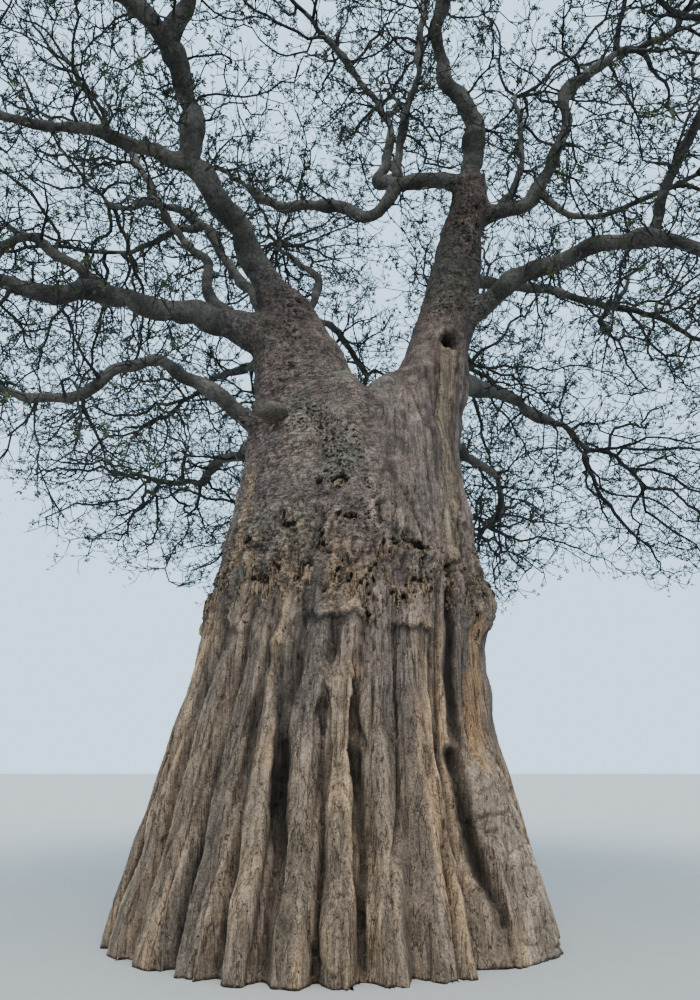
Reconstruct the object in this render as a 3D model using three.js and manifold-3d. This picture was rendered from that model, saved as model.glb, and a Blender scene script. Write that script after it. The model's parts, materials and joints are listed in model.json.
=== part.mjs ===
// A baobab tree, rooted in level ground, at its real size in millimetres.
// +Z is up and Z = 0 is the ground, with the origin in the flat cut under the trunk.
// Bearings are degrees from +X (the right of the front view) round to +Y (away behind the tree),
// so 180 is the left side and 270 is the front. Rises are degrees above the level.
import * as THREE from "three";
import { mergeVertices } from "three/addons/utils/BufferGeometryUtils.js";
import Module from "manifold-3d";

const wasm = await Module();
wasm.setup();

// Room left between a piece and the one that it grows out of or runs into.
const JOINT_GAP = 0.4;

// Further from the origin than any point of the tree.
const CLEAR_OF_TREE = 20000;

// Level at which the two stems part from the trunk.
const STEM_PARTING_HEIGHT = 6420;

// Each level of the trunk: height, middle across, middle in depth, half width, half depth.
const TRUNK_LEVELS = [
  [0, -90, -20, 2400, 2340],
  [400, -100, -20, 2250, 2190],
  [800, -70, -10, 2140, 2060],
  [1400, -90, 0, 1990, 1890],
  [2000, -90, 0, 1830, 1740],
  [2700, -20, 0, 1700, 1600],
  [3400, 70, 0, 1670, 1500],
  [4100, 100, 0, 1550, 1400],
  [4800, 110, 0, 1440, 1310],
  [5500, 130, 0, 1360, 1220],
  [6100, 200, 0, 1150, 1000],
  [6330, 300, 0, 700, 560],
];

// The two fused stems of the upper trunk, which part at the fork, in the same order of sizes.
const LEFT_STEM_LEVELS = [
  [4600, -300, 0, 980, 900],
  [5500, -350, 0, 890, 860],
  [6350, -480, 0, 690, 740],
  [6850, -620, -20, 580, 620],
  [7300, -680, -60, 470, 500],
  [7600, -750, -100, 350, 380],
  [7800, -790, -120, 240, 270],
];
const RIGHT_STEM_LEVELS = [
  [4600, 620, 0, 920, 880],
  [5500, 690, 0, 800, 820],
  [6350, 1020, 0, 600, 700],
  [6900, 1280, 0, 440, 560],
  [7500, 1440, -20, 400, 470],
  [8200, 1580, -50, 365, 400],
  [8800, 1690, -90, 320, 340],
  [9300, 1780, -120, 270, 280],
  [9700, 1830, -140, 190, 200],
];
const STEM_SIDES = 18;

// Bearings of the deep creases between the trunk's ribs: the front ones where they show, and the
// rear ones evenly spaced but for a little unevenness.
const FRONT_CREASES = [190, 204, 218, 233, 246, 256, 268, 278, 290, 306, 346];
const REAR_CREASE_COUNT = 11;
const REAR_CREASE_UNEVENNESS = 3;
const REAR_CREASE_RHYTHM = 2.4;
const CREASE_DEPTH_AT_GROUND = 300;
const CREASE_TOP_HEIGHT = 3900;
const CREASE_FADE_POWER = 0.6;
const FULL_DEPTH_RIB_WIDTH = 14;
const RIB_SHOULDER = 0.26;

// Boughs have a ring of sides at each step, and swell into a collar where they start. The swell falls
// off along the bough, faster for a thin bough than for a thick one.
const THICK_BOUGH_SIDES = 6;
const THIN_BOUGH_SIDES = 5;
const THIN_BOUGH_BELOW = 210;
const BOUGH_RING_STEP = 620;
const ROOT_IN_STEM = 500;
const COLLAR_SWELL = 0.3;
const COLLAR_FALL = 2;

// Each bough: where it leaves the piece that it grows from, how far its root reaches back into that
// piece, its thickness at the start and at the end of its legs, its legs, each a length, a bearing and a
// rise, and the mass of foliage that it then runs into.
const BOUGHS = {
  bough_left_main: {
    from: [-920, -300, 7630],
    thickness: [400, 185],
    legs: [[690, 212, 57], [570, 230, 47], [490, 232, 39], [430, 225, 12], [310, 310, 60],
      [430, 252, 61], [690, 243, 50], [320, 221, 10], [400, 231, 12], [700, 228, 35]],
    into: "mass_upper_1",
  },
  bough_left_fork: {
    from: [-2150, -2100, 10210],
    root: 110,
    thickness: [220, 120],
    legs: [[260, 314, 36], [270, 318, 33], [800, 285, 35], [900, 270, 10]],
    into: "mass_middle_9",
  },
  bough_left_curl: {
    from: [-2110, -1400, 9010],
    root: 100,
    thickness: [180, 110],
    legs: [[380, 196, 18], [340, 197, -9], [340, 216, -7], [330, 199, 21], [370, 207, -50],
      [540, 212, -12]],
    into: "mass_middle_1",
  },
  bough_left_long: {
    from: [-1080, -300, 7080],
    thickness: [430, 190],
    legs: [[520, 192, 15], [590, 200, 2], [520, 203, 5], [370, 204, 2], [460, 217, -24],
      [400, 211, -14], [450, 207, 8]],
    into: "mass_low_1",
  },
  bough_left_long_fork: {
    from: [-2940, -950, 7330],
    root: 90,
    thickness: [190, 120],
    legs: [[400, 200, 24], [440, 203, 30], [350, 206, 17]],
    into: "mass_low_2",
  },
  bough_left_bent: {
    from: [-1070, -600, 5610],
    thickness: [230, 110],
    legs: [[440, 210, 23], [540, 206, 34], [510, 205, 23], [410, 197, -34], [360, 203, -45],
      [510, 202, -57]],
    into: "mass_low_1",
  },
  bough_left_rear_low: {
    from: [-1390, 500, 5720],
    thickness: [180, 90],
    legs: [[710, 122, 4], [630, 127, -4], [1090, 137, 15]],
    into: "mass_low_3",
  },
  bough_left_riser: {
    from: [-1530, -400, 7365],
    root: 120,
    thickness: [170, 110],
    legs: [[570, 165, 49], [610, 103, 70], [660, 165, 53], [750, 165, 59], [750, 163, 64]],
    into: "mass_upper_2",
  },
  bough_left_rear_long: {
    from: [-1130, 0, 7700],
    thickness: [200, 90],
    legs: [[680, 138, 49], [460, 107, 63], [430, 160, 47], [770, 148, 60], [570, 142, 55],
      [790, 162, 34], [780, 157, 15], [950, 156, 39]],
    into: "mass_upper_2",
  },
  bough_left_rear_fork: {
    from: [-2350, 1000, 9980],
    root: 60,
    thickness: [120, 80],
    legs: [[610, 170, -13], [330, 159, -33], [750, 165, 4]],
    into: "mass_middle_2",
  },
  bough_left_back: {
    from: [-1150, 400, 7120],
    thickness: [180, 100],
    legs: [[900, 123, 14], [780, 127, 14], [900, 125, 10]],
    into: "mass_middle_3",
  },
  bough_back_left: {
    from: [-550, 250, 7500],
    thickness: [160, 80],
    legs: [[750, 70, 68], [700, 85, 60], [580, 148, 49], [520, 143, 50]],
    into: "mass_upper_3",
  },
  bough_back_middle: {
    from: [-470, 450, 7600],
    thickness: [140, 90],
    legs: [[1000, 70, 35], [850, 71, 5], [1200, 75, 0]],
    into: "mass_middle_4",
  },
  bough_back_right: {
    from: [1500, 300, 8300],
    thickness: [240, 130],
    legs: [[900, 80, 35], [1000, 85, 25], [1200, 78, 10]],
    into: "mass_middle_5",
  },
  bough_back_low: {
    from: [200, 1100, 5600],
    thickness: [240, 140],
    legs: [[900, 90, 20], [1000, 95, 15]],
    into: "mass_low_4",
  },
  bough_right_main: {
    from: [1850, -200, 9500],
    thickness: [320, 200],
    legs: [[710, 276, 78], [440, 291, 69], [410, 218, 67], [470, 195, 36], [310, 224, 63],
      [360, 295, 62], [380, 283, 47]],
    into: "mass_upper_6",
  },
  bough_right_rise: {
    from: [2050, -100, 9220],
    thickness: [230, 120],
    legs: [[310, 351, 9], [360, 344, 0], [440, 336, 56], [700, 338, 67], [630, 297, 74],
      [650, 338, 33], [750, 341, 37]],
    into: "mass_upper_5",
  },
  bough_right_rise_fork: {
    from: [2830, -300, 9420],
    root: 80,
    thickness: [120, 90],
    legs: [[350, 320, -60], [450, 350, -50], [450, 350, 5], [900, 345, 20]],
    into: "mass_middle_7",
  },
  bough_right_sprout: {
    from: [2130, 100, 9390],
    thickness: [180, 70],
    legs: [[500, 17, 47], [360, 26, 50], [900, 40, 80], [1300, 38, 84]],
    into: "mass_upper_4",
  },
  bough_right_front: {
    from: [1860, -300, 7500],
    thickness: [270, 170],
    legs: [[410, 327, 26], [510, 323, 11], [540, 326, 5], [460, 318, -7], [420, 329, -23],
      [710, 322, -40]],
    into: "mass_low_8",
  },
  bough_right_front_fork: {
    from: [3720, -1620, 7600],
    root: 80,
    thickness: [130, 110],
    legs: [[600, 300, 60], [600, 290, 35]],
    into: "mass_middle_8",
  },
  bough_right_side_fork: {
    from: [3560, -1530, 7650],
    root: 80,
    thickness: [150, 110],
    legs: [[450, 10, 5], [600, 15, -10]],
    into: "mass_low_7",
  },
  bough_right_rear: {
    from: [2040, 300, 8350],
    thickness: [200, 120],
    legs: [[900, 36, 19], [700, 36, 14], [610, 44, 18]],
    into: "mass_middle_6",
  },
  bough_right_long: {
    from: [1730, 700, 6850],
    thickness: [300, 120],
    legs: [[670, 54, 24], [670, 51, 14], [780, 41, -8], [800, 38, 1]],
    into: "mass_low_6",
  },
  bough_right_back_low: {
    from: [1560, 480, 5780],
    thickness: [180, 100],
    legs: [[900, 55, 2], [520, 58, -14], [380, 74, -35]],
    into: "mass_low_5",
  },
  bough_cross_left: {
    from: [1670, -300, 9620],
    root: 250,
    thickness: [230, 90],
    legs: [[480, 180, 11], [450, 180, -29], [280, 152, -41], [280, 152, -35], [540, 153, 36],
      [740, 151, 32], [780, 146, 24], [860, 147, 50], [900, 150, 45]],
    into: "mass_upper_2",
  },
  bough_centre_rear: {
    from: [820, -300, 9530],
    root: 90,
    thickness: [200, 110],
    legs: [[370, 140, 33], [950, 71, 71], [1070, 84, 74], [970, 133, 65]],
    into: "mass_top_1",
  },
  bough_centre_rise: {
    from: [720, 500, 11700],
    root: 60,
    thickness: [110, 80],
    legs: [[500, 60, 55], [600, 80, 65]],
    into: "mass_top_2",
  },
  bough_centre_front: {
    from: [850, -300, 9500],
    root: 90,
    thickness: [140, 100],
    legs: [[500, 250, 65], [530, 293, 66], [390, 316, 43], [600, 258, 70]],
    into: "mass_top_3",
  },
};

// Broken-off stumps, in the same form as the boughs but with nothing to run into.
const STUMPS = {
  stump_front_left: { from: [-560, -680, 5680], thickness: [350, 310], legs: [[640, 243, -14]] },
  stump_right_top: { from: [1960, -100, 9300], thickness: [260, 60], legs: [[850, 0, 81]] },
};

// The masses of twigs and leaves stand round the crown in tiers. A tier has its count, the bearing
// of its first mass, the turn to the next, the distance of their middles from the crown's axis, their
// height, and their half sizes outwards, sideways and upwards. Lifts are added to single heights, and
// pulls bring single masses nearer to the axis.
const MASS_TIERS = {
  low: {
    count: 8, first: 205, turn: -33, reach: 6700, height: 6250, half: [2500, 2200, 1600],
    lifts: [0, 1000, 350, 0, 100, 0, 0, 300],
    pulls: [0, 0, 1300, 0, 0, 0, 0, 0],
  },
  middle: {
    count: 9, first: 225, turn: -40, reach: 6900, height: 9400, half: [2500, 2700, 1900],
    lifts: [300, 0, 0, 0, 0, 0, 0, 300, 500],
    pulls: [0, 0, 0, 0, 0, 0, 0, 0, 0],
  },
  upper: {
    count: 6, first: 230, turn: -60, reach: 5000, height: 12800, half: [2600, 2900, 1600],
    lifts: [0, 0, 0, 0, 0, 0],
    pulls: [0, 0, 0, 0, 0, 0],
  },
  top: {
    count: 3, first: 200, turn: -120, reach: 1800, height: 14300, half: [2100, 2200, 1300],
    lifts: [0, 0, 0],
    pulls: [0, 0, 0],
  },
};
const CROWN_AXIS = [300, 300];
const MASS_SEGMENTS = [10, 7];
const MASS_GAP = 120;

// Each mass is set a little off its even place, and waves in a few directions make it lumpy.
const MASS_BEARING_PLAY = 8;
const MASS_REACH_PLAY = 0.08;
const MASS_LUMPS = 5;
const MASS_UNEVENNESS = 0.34;
const LUMP_STEEPEST_RISE = 70;
const LUMP_FEWEST_WAVES = 4;
const LUMP_MOST_WAVES = 10;
const SEED = 4177;
const SEED_STEP = 97;

// A neighbour this close to square with a direction, as a cosine, doesn't limit a mass there.
const SQUARE_TO_NEIGHBOUR = 0.02;

const BARK_LIGHT = { color: 0x8d8078, roughness: 0.9 };
const BARK_DARK = { color: 0x5f5650, roughness: 0.9 };
const FOLIAGE = { color: 0x5b5a46, roughness: 0.95 };

const radians = THREE.MathUtils.degToRad;

// Evenly spread numbers from 0 to 1 that are the same on every run.
function seededRandom(seed) {
  let state = seed;
  return () => {
    state = (state * 1664525 + 1013904223) % 4294967296;
    return state / 4294967296;
  };
}

// The unit vector of a bearing and a rise.
function direction(bearing, rise) {
  const level = Math.cos(radians(rise));
  return new THREE.Vector3(
    level * Math.cos(radians(bearing)),
    level * Math.sin(radians(bearing)),
    Math.sin(radians(rise)),
  );
}

// A closed body through rings of equal point counts, with a fan over each end.
function loft(rings) {
  const sides = rings[0].length;
  const points = rings.flat();
  const faces = [];
  for (let ring = 0; ring + 1 < rings.length; ring += 1) {
    for (let side = 0; side < sides; side += 1) {
      const a = ring * sides + side;
      const b = ring * sides + ((side + 1) % sides);
      faces.push(a, b, b + sides, a, b + sides, a + sides);
    }
  }
  const ends = [[0, -1], [rings.length - 1, 1]];
  for (const [ring, facing] of ends) {
    const middle = new THREE.Vector3();
    rings[ring].forEach((point) => middle.addScaledVector(point, 1 / sides));
    const hub = points.push(middle) - 1;
    for (let side = 0; side < sides; side += 1) {
      const a = ring * sides + side;
      const b = ring * sides + ((side + 1) % sides);
      faces.push(...(facing > 0 ? [hub, a, b] : [hub, b, a]));
    }
  }
  const geometry = new THREE.BufferGeometry().setFromPoints(points);
  geometry.setIndex(faces);
  return geometry;
}

// A closed geometry as a solid that can be joined and cut.
function solidOf(geometry) {
  const bare = new THREE.BufferGeometry();
  bare.setAttribute("position", geometry.getAttribute("position"));
  bare.setIndex(geometry.getIndex());
  const merged = mergeVertices(bare, 0.001);
  return new wasm.Manifold(
    new wasm.Mesh({
      numProp: 3,
      vertProperties: merged.getAttribute("position").array,
      triVerts: new Uint32Array(merged.getIndex().array),
    }),
  );
}

// A solid's faces as a geometry with flat shading.
function geometryOf(solid) {
  const mesh = solid.getMesh();
  const geometry = new THREE.BufferGeometry();
  geometry.setAttribute("position", new THREE.BufferAttribute(mesh.vertProperties, 3));
  geometry.setIndex(new THREE.BufferAttribute(mesh.triVerts, 1));
  return geometry.toNonIndexed();
}

// The largest of a solid's separate pieces.
function largestPiece(solid) {
  return solid.decompose().reduce((best, piece) => (piece.volume() > best.volume() ? piece : best));
}

// The part of a solid between two levels.
function between(solid, low, high) {
  const slab = new THREE.BoxGeometry(2 * CLEAR_OF_TREE, 2 * CLEAR_OF_TREE, high - low);
  slab.translate(0, 0, (low + high) / 2);
  return solid.intersect(solidOf(slab));
}

// How deep the creases cut at a height: deepest at the ground and gone at the torn bark above.
function creaseDepth(height) {
  const fall = THREE.MathUtils.clamp(1 - height / CREASE_TOP_HEIGHT, 0, 1);
  return CREASE_DEPTH_AT_GROUND * Math.pow(fall, CREASE_FADE_POWER);
}

// All the crease bearings, in order round the trunk.
function creaseBearings() {
  const start = FRONT_CREASES[FRONT_CREASES.length - 1] - 360;
  const sweep = FRONT_CREASES[0] - start;
  const rear = [];
  for (let index = 1; index <= REAR_CREASE_COUNT; index += 1) {
    const uneven = REAR_CREASE_UNEVENNESS * Math.sin(index * REAR_CREASE_RHYTHM);
    rear.push(start + (sweep * index) / (REAR_CREASE_COUNT + 1) + uneven);
  }
  return [...rear, ...FRONT_CREASES];
}

// Points round one level of the trunk: a crease and one or two shoulders for each rib.
function trunkRing([height, middleX, middleY, halfWidth, halfDepth], grow) {
  const creases = creaseBearings();
  const ring = [];
  creases.forEach((bearing, index) => {
    const next = index + 1 < creases.length ? creases[index + 1] : creases[0] + 360;
    const width = next - bearing;
    const deep = creaseDepth(height) * Math.min(1, width / FULL_DEPTH_RIB_WIDTH);
    const front = FRONT_CREASES.includes(bearing);
    const shoulders = front ? [RIB_SHOULDER, 1 - RIB_SHOULDER] : [0.5];
    const spots = [[bearing, deep], ...shoulders.map((part) => [bearing + width * part, 0])];
    for (const [turn, cut] of spots) {
      const across = Math.cos(radians(turn)) * (halfWidth - cut + grow);
      const inDepth = Math.sin(radians(turn)) * (halfDepth - cut + grow);
      ring.push(new THREE.Vector3(middleX + across, middleY + inDepth, height));
    }
  });
  return ring;
}

// Points round one level of a stem.
function stemRing([height, middleX, middleY, halfWidth, halfDepth], grow) {
  const ring = [];
  for (let side = 0; side < STEM_SIDES; side += 1) {
    const turn = (2 * Math.PI * side) / STEM_SIDES;
    const across = Math.cos(turn) * (halfWidth + grow);
    const inDepth = Math.sin(turn) * (halfDepth + grow);
    ring.push(new THREE.Vector3(middleX + across, middleY + inDepth, height));
  }
  return ring;
}

// The whole trunk with both stems, before it is parted.
function wholeTrunk(grow) {
  const body = solidOf(loft(TRUNK_LEVELS.map((level) => trunkRing(level, grow))));
  const left = solidOf(loft(LEFT_STEM_LEVELS.map((level) => stemRing(level, grow))));
  const right = solidOf(loft(RIGHT_STEM_LEVELS.map((level) => stemRing(level, grow))));
  return body.add(left).add(right);
}

// The middle line of a limb, from inside the piece that carries it to the middle of its mass.
function limbLine({ from, root = ROOT_IN_STEM, legs, into }, masses) {
  const start = new THREE.Vector3(...from);
  const first = direction(legs[0][1], legs[0][2]);
  const points = [start.clone().addScaledVector(first, -root), start];
  for (const [length, bearing, rise] of legs) {
    points.push(points[points.length - 1].clone().addScaledVector(direction(bearing, rise), length));
  }
  if (into) points.push(masses.find((mass) => mass.name === into).middle);
  return new THREE.CatmullRomCurve3(points, false, "centripetal");
}

// A tapering limb round its middle line, with a collar where it leaves its carrier.
function limb(row, masses, grow) {
  const line = limbLine(row, masses);
  const length = line.getLength();
  const root = row.root ?? ROOT_IN_STEM;
  const tapered = row.legs.reduce((sum, leg) => sum + leg[0], root);
  const steps = Math.max(2, Math.round(length / BOUGH_RING_STEP));
  const frames = line.computeFrenetFrames(steps, false);
  const [thick, thin] = row.thickness;
  const sides = thick < THIN_BOUGH_BELOW ? THIN_BOUGH_SIDES : THICK_BOUGH_SIDES;
  const rings = [];
  for (let step = 0; step <= steps; step += 1) {
    const along = step / steps;
    const beyondCollar = Math.max(0, along * length - root) / thick;
    const swell = 1 + COLLAR_SWELL * Math.exp(-COLLAR_FALL * beyondCollar);
    const taper = Math.min(1, (along * length) / tapered);
    const radius = (THREE.MathUtils.lerp(thick, thin, taper) / 2) * swell + grow;
    const middle = line.getPointAt(along);
    if (step === 0) middle.addScaledVector(frames.tangents[0], -grow);
    if (step === steps) middle.addScaledVector(frames.tangents[steps], grow);
    const ring = [];
    for (let side = 0; side < sides; side += 1) {
      const turn = (2 * Math.PI * side) / sides;
      const point = middle.clone();
      point.addScaledVector(frames.normals[step], radius * Math.cos(turn));
      point.addScaledVector(frames.binormals[step], radius * Math.sin(turn));
      ring.push(point);
    }
    rings.push(ring);
  }
  return solidOf(loft(rings));
}

// The middle, own directions and half sizes of every mass, tier by tier.
function massPlaces() {
  const placed = [];
  for (const [tier, sizes] of Object.entries(MASS_TIERS)) {
    for (let index = 0; index < sizes.count; index += 1) {
      const random = seededRandom(SEED + placed.length * SEED_STEP);
      const bearing = sizes.first + sizes.turn * index + (random() - 0.5) * MASS_BEARING_PLAY;
      const even = sizes.reach * (1 + (random() - 0.5) * MASS_REACH_PLAY);
      const reach = even - sizes.pulls[index];
      const outwards = direction(bearing, 0);
      const middle = outwards.clone().multiplyScalar(reach);
      middle.add(new THREE.Vector3(...CROWN_AXIS, sizes.height + sizes.lifts[index]));
      const sideways = new THREE.Vector3(-outwards.y, outwards.x, 0);
      const lumps = [];
      for (let lump = 0; lump < MASS_LUMPS; lump += 1) {
        const facing = direction(random() * 360, (2 * random() - 1) * LUMP_STEEPEST_RISE);
        const waves = THREE.MathUtils.lerp(LUMP_FEWEST_WAVES, LUMP_MOST_WAVES, random());
        lumps.push({ facing, waves, start: random() * 2 * Math.PI });
      }
      placed.push({
        name: `mass_${tier}_${index + 1}`, middle, outwards, sideways, half: sizes.half, lumps,
      });
    }
  }
  return placed;
}

// Distance from a mass's middle to its surface in a direction, before its neighbours hem it in.
function freeReach(mass, facing) {
  const [outHalf, sideHalf, upHalf] = mass.half;
  const scaled = new THREE.Vector3(
    facing.dot(mass.outwards) / outHalf,
    facing.dot(mass.sideways) / sideHalf,
    facing.z / upHalf,
  );
  let uneven = 0;
  for (const lump of mass.lumps) {
    uneven += Math.sin(lump.waves * facing.dot(lump.facing) + lump.start) / MASS_LUMPS;
  }
  return (1 + MASS_UNEVENNESS * uneven) / scaled.length();
}

// A mass of twigs and leaves, flattened where it meets the masses beside it.
function massSolid(mass, masses, grow) {
  const sphere = new THREE.SphereGeometry(1, ...MASS_SEGMENTS);
  sphere.deleteAttribute("normal");
  sphere.deleteAttribute("uv");
  const geometry = mergeVertices(sphere, 1e-4);
  const position = geometry.getAttribute("position");
  const facing = new THREE.Vector3();
  for (let index = 0; index < position.count; index += 1) {
    facing.fromBufferAttribute(position, index).normalize();
    let reach = freeReach(mass, facing);
    for (const other of masses) {
      if (other === mass) continue;
      const apart = other.middle.clone().sub(mass.middle);
      const distance = apart.length();
      apart.divideScalar(distance);
      const mine = freeReach(mass, apart);
      const theirs = freeReach(other, apart.clone().negate());
      const wall = (distance * mine) / (mine + theirs) - MASS_GAP / 2;
      const towards = facing.dot(apart);
      if (towards > SQUARE_TO_NEIGHBOUR) reach = Math.min(reach, wall / towards);
    }
    const point = mass.middle.clone().addScaledVector(facing, reach + grow);
    position.setXYZ(index, point.x, point.y, point.z);
  }
  return solidOf(geometry);
}

// Adds a solid to the tree as a node of its own.
function addNode(tree, name, solid, finish) {
  const material = new THREE.MeshStandardMaterial({ ...finish, metalness: 0 });
  const mesh = new THREE.Mesh(geometryOf(solid), material);
  mesh.name = name;
  tree.add(mesh);
}

// The trunk up to its fork, and the two stems above it.
function addTrunkAndStems(tree) {
  const whole = wholeTrunk(0);
  const stems = between(whole, STEM_PARTING_HEIGHT + JOINT_GAP, CLEAR_OF_TREE).decompose();
  stems.sort((a, b) => a.boundingBox().min[0] - b.boundingBox().min[0]);
  addNode(tree, "trunk", between(whole, -JOINT_GAP, STEM_PARTING_HEIGHT), BARK_LIGHT);
  addNode(tree, "stem_left", stems[0], BARK_LIGHT);
  addNode(tree, "stem_right", stems[1], BARK_LIGHT);
}

// The masses, each apart from its neighbours.
function addMasses(tree, masses) {
  masses.forEach((mass) => addNode(tree, mass.name, massSolid(mass, masses, 0), FOLIAGE));
}

// The stumps and boughs, each cut back from the pieces before it and from the masses.
function addLimbs(tree, masses) {
  const crown = wasm.Manifold.union(masses.map((mass) => massSolid(mass, masses, JOINT_GAP)));
  let occupied = wholeTrunk(JOINT_GAP);
  for (const [name, row] of Object.entries({ ...STUMPS, ...BOUGHS })) {
    const free = limb(row, masses, 0).subtract(occupied).subtract(crown);
    addNode(tree, name, largestPiece(free), BARK_DARK);
    occupied = occupied.add(limb(row, masses, JOINT_GAP));
  }
}

const tree = new THREE.Group();
const masses = massPlaces();
addTrunkAndStems(tree);
addMasses(tree, masses);
addLimbs(tree, masses);

export default tree;
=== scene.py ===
import json
import math

import bpy
import numpy as np
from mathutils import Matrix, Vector
from mathutils.bvhtree import BVHTree
from mathutils.kdtree import KDTree


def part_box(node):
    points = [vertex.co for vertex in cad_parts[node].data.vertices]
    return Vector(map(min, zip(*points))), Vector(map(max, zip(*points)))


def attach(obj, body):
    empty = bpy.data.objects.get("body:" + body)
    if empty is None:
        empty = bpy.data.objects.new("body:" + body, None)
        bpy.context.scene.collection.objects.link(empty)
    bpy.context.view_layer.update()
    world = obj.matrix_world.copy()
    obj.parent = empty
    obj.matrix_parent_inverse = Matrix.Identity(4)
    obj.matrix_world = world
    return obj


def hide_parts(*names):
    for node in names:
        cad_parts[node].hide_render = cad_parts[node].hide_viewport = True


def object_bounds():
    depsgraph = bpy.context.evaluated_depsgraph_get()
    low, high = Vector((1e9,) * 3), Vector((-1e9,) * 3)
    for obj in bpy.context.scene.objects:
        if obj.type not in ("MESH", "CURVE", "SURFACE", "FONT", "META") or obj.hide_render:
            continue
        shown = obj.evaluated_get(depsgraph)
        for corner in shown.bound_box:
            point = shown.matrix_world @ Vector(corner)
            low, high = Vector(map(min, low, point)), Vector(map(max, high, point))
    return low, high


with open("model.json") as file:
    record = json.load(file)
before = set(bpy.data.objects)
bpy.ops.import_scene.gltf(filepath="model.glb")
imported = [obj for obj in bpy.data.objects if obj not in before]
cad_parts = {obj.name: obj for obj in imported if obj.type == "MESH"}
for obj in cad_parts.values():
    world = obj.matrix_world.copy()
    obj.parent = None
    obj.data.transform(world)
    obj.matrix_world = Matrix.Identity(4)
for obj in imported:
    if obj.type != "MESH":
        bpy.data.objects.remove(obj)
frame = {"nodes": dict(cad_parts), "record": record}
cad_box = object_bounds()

SEED = 4177
random = np.random.default_rng(SEED)

# The camera of the photo: where it stands, how far it looks up, and its lens for a frame that is this
# high in millimetres.
CAMERA_PLACE = (0.1, -9.0, 1.6)
CAMERA_RISE = 19.8
CAMERA_LENS = 27.04
CAMERA_FRAME = 36.0
CAMERA_REACH = 900.0

# The pieces of the trunk that are covered by one skin of bark, the spacing of its grid, and how far the
# trunk and the stems are drawn down for it at first.
TRUNK_NODES = ["trunk", "stem_left", "stem_right"]
BARK_GRID = 0.026
BELOW_GROUND = 0.3
STEM_OVERLAP = 0.25

# Where the ribs end, and the trunk's axis: its place across at the ground, and its lean with height.
RIBS_TOP = 3.9
TRUNK_AXIS_START = -0.05
TRUNK_AXIS_LEAN = 0.03

# The crown's growth: about how many places in the masses it grows towards, how much denser they lie in
# the low masses, how many lie by each metre of a bough and how far from it.
PLACES_IN_MASSES = 20500
LOW_MASS_SHARE = 1.8
PLACES_PER_METRE = 95
PLACES_BY_LIMB_REACH = 1.8

# The length of a step of growth, how near a branch comes before a place counts as reached, how far off
# a place still pulls, how much a branch wanders, and how many steps there are at most.
STEP = 0.19
REACHED = 0.25
SEEN_FROM = 2.6
WANDER = 0.32
MOST_STEPS = 70

# The radius of the last twigs, and the power by which the radii of joining branches add up.
TWIG_RADIUS = 0.0084
PIPE_POWER = 2.15

# Room before the trunk and at the lower left that no twigs grow into, as low and high corners, and room
# round the trunk.
CLEAR_FRONT = ((-1.9, -9.0, 0.0), (2.2, 0.3, 8.7))
CLEAR_LOWER_LEFT = ((-12.0, -3.0, 0.0), (-5.2, 9.0, 6.6))
CLEAR_OF_TRUNK = 0.4

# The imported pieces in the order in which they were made: each limb comes after what carries it.
NODES = [row["node"] for row in frame["record"]["subparts"]]
WOOD_NODES = [name for name in NODES if not name.startswith("mass_")]
BOUGH_NODES = [name for name in WOOD_NODES if name.startswith("bough_")]
STUMP_NODES = [name for name in WOOD_NODES if name.startswith("stump_")]
MASS_NODES = [name for name in NODES if name.startswith("mass_")]


# Small tools for arrays of places.

def unit(vectors):
    lengths = np.linalg.norm(vectors, axis=-1, keepdims=True)
    return vectors / np.maximum(lengths, 1e-9)


def smooth_step(low, high, value):
    share = np.clip((value - low) / (high - low), 0, 1)
    return share * share * (3 - 2 * share)


def lattice_value(cell, seed):
    """A number from -1 to 1 for each whole-numbered corner of space."""
    mixed = cell[:, 0] * 374761393 + cell[:, 1] * 668265263 + cell[:, 2] * 1440662683 + seed * 69069
    mixed = (mixed ^ (mixed >> 13)) & 0xFFFFFFFF
    mixed = (mixed * 1274126177) & 0xFFFFFFFF
    mixed = mixed ^ (mixed >> 16)
    return (mixed & 0xFFFF) / 32767.5 - 1


def noise(places, seed):
    """Smooth bumps about one unit across, from -1 to 1."""
    whole = np.floor(places).astype(np.int64)
    part = places - whole
    part = part * part * (3 - 2 * part)
    total = np.zeros(len(places))
    for corner in np.ndindex(2, 2, 2):
        weight = np.ones(len(places))
        for axis, far in enumerate(corner):
            weight *= part[:, axis] if far else 1 - part[:, axis]
        total += weight * lattice_value(whole + np.array(corner), seed)
    return total


def layered(places, seed, layers=3):
    """Noise with finer and fainter layers on top of it."""
    total = np.zeros(len(places))
    size, share = 1.0, 1.0
    for layer in range(layers):
        total += share * noise(places * size + 7.3 * layer, seed + layer)
        size *= 2.03
        share *= 0.5
    return total


def cell_pattern(places, seed):
    """Cells about one unit across: a number from -1 to 1 for each place's cell, and how near its edge."""
    whole = np.floor(places).astype(np.int64)
    nearest, second = np.full(len(places), 9.0), np.full(len(places), 9.0)
    value = np.zeros(len(places))
    for step in np.ndindex(3, 3, 3):
        cell = whole + np.array(step) - 1
        jitter = np.column_stack([lattice_value(cell, seed + key) for key in range(3)])
        gap = np.linalg.norm(places - cell - 0.5 - 0.45 * jitter, axis=1)
        value = np.where(gap < nearest, lattice_value(cell, seed + 3), value)
        second = np.minimum(second, np.maximum(gap, nearest))
        nearest = np.minimum(nearest, gap)
    return value, second - nearest


def warped(places, rate, reach, seed):
    """Places moved to and fro by noise, which makes a regular pattern ragged."""
    return places + reach * np.column_stack([layered(places * rate, seed + key, 2) for key in (0, 7, 14)])


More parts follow.
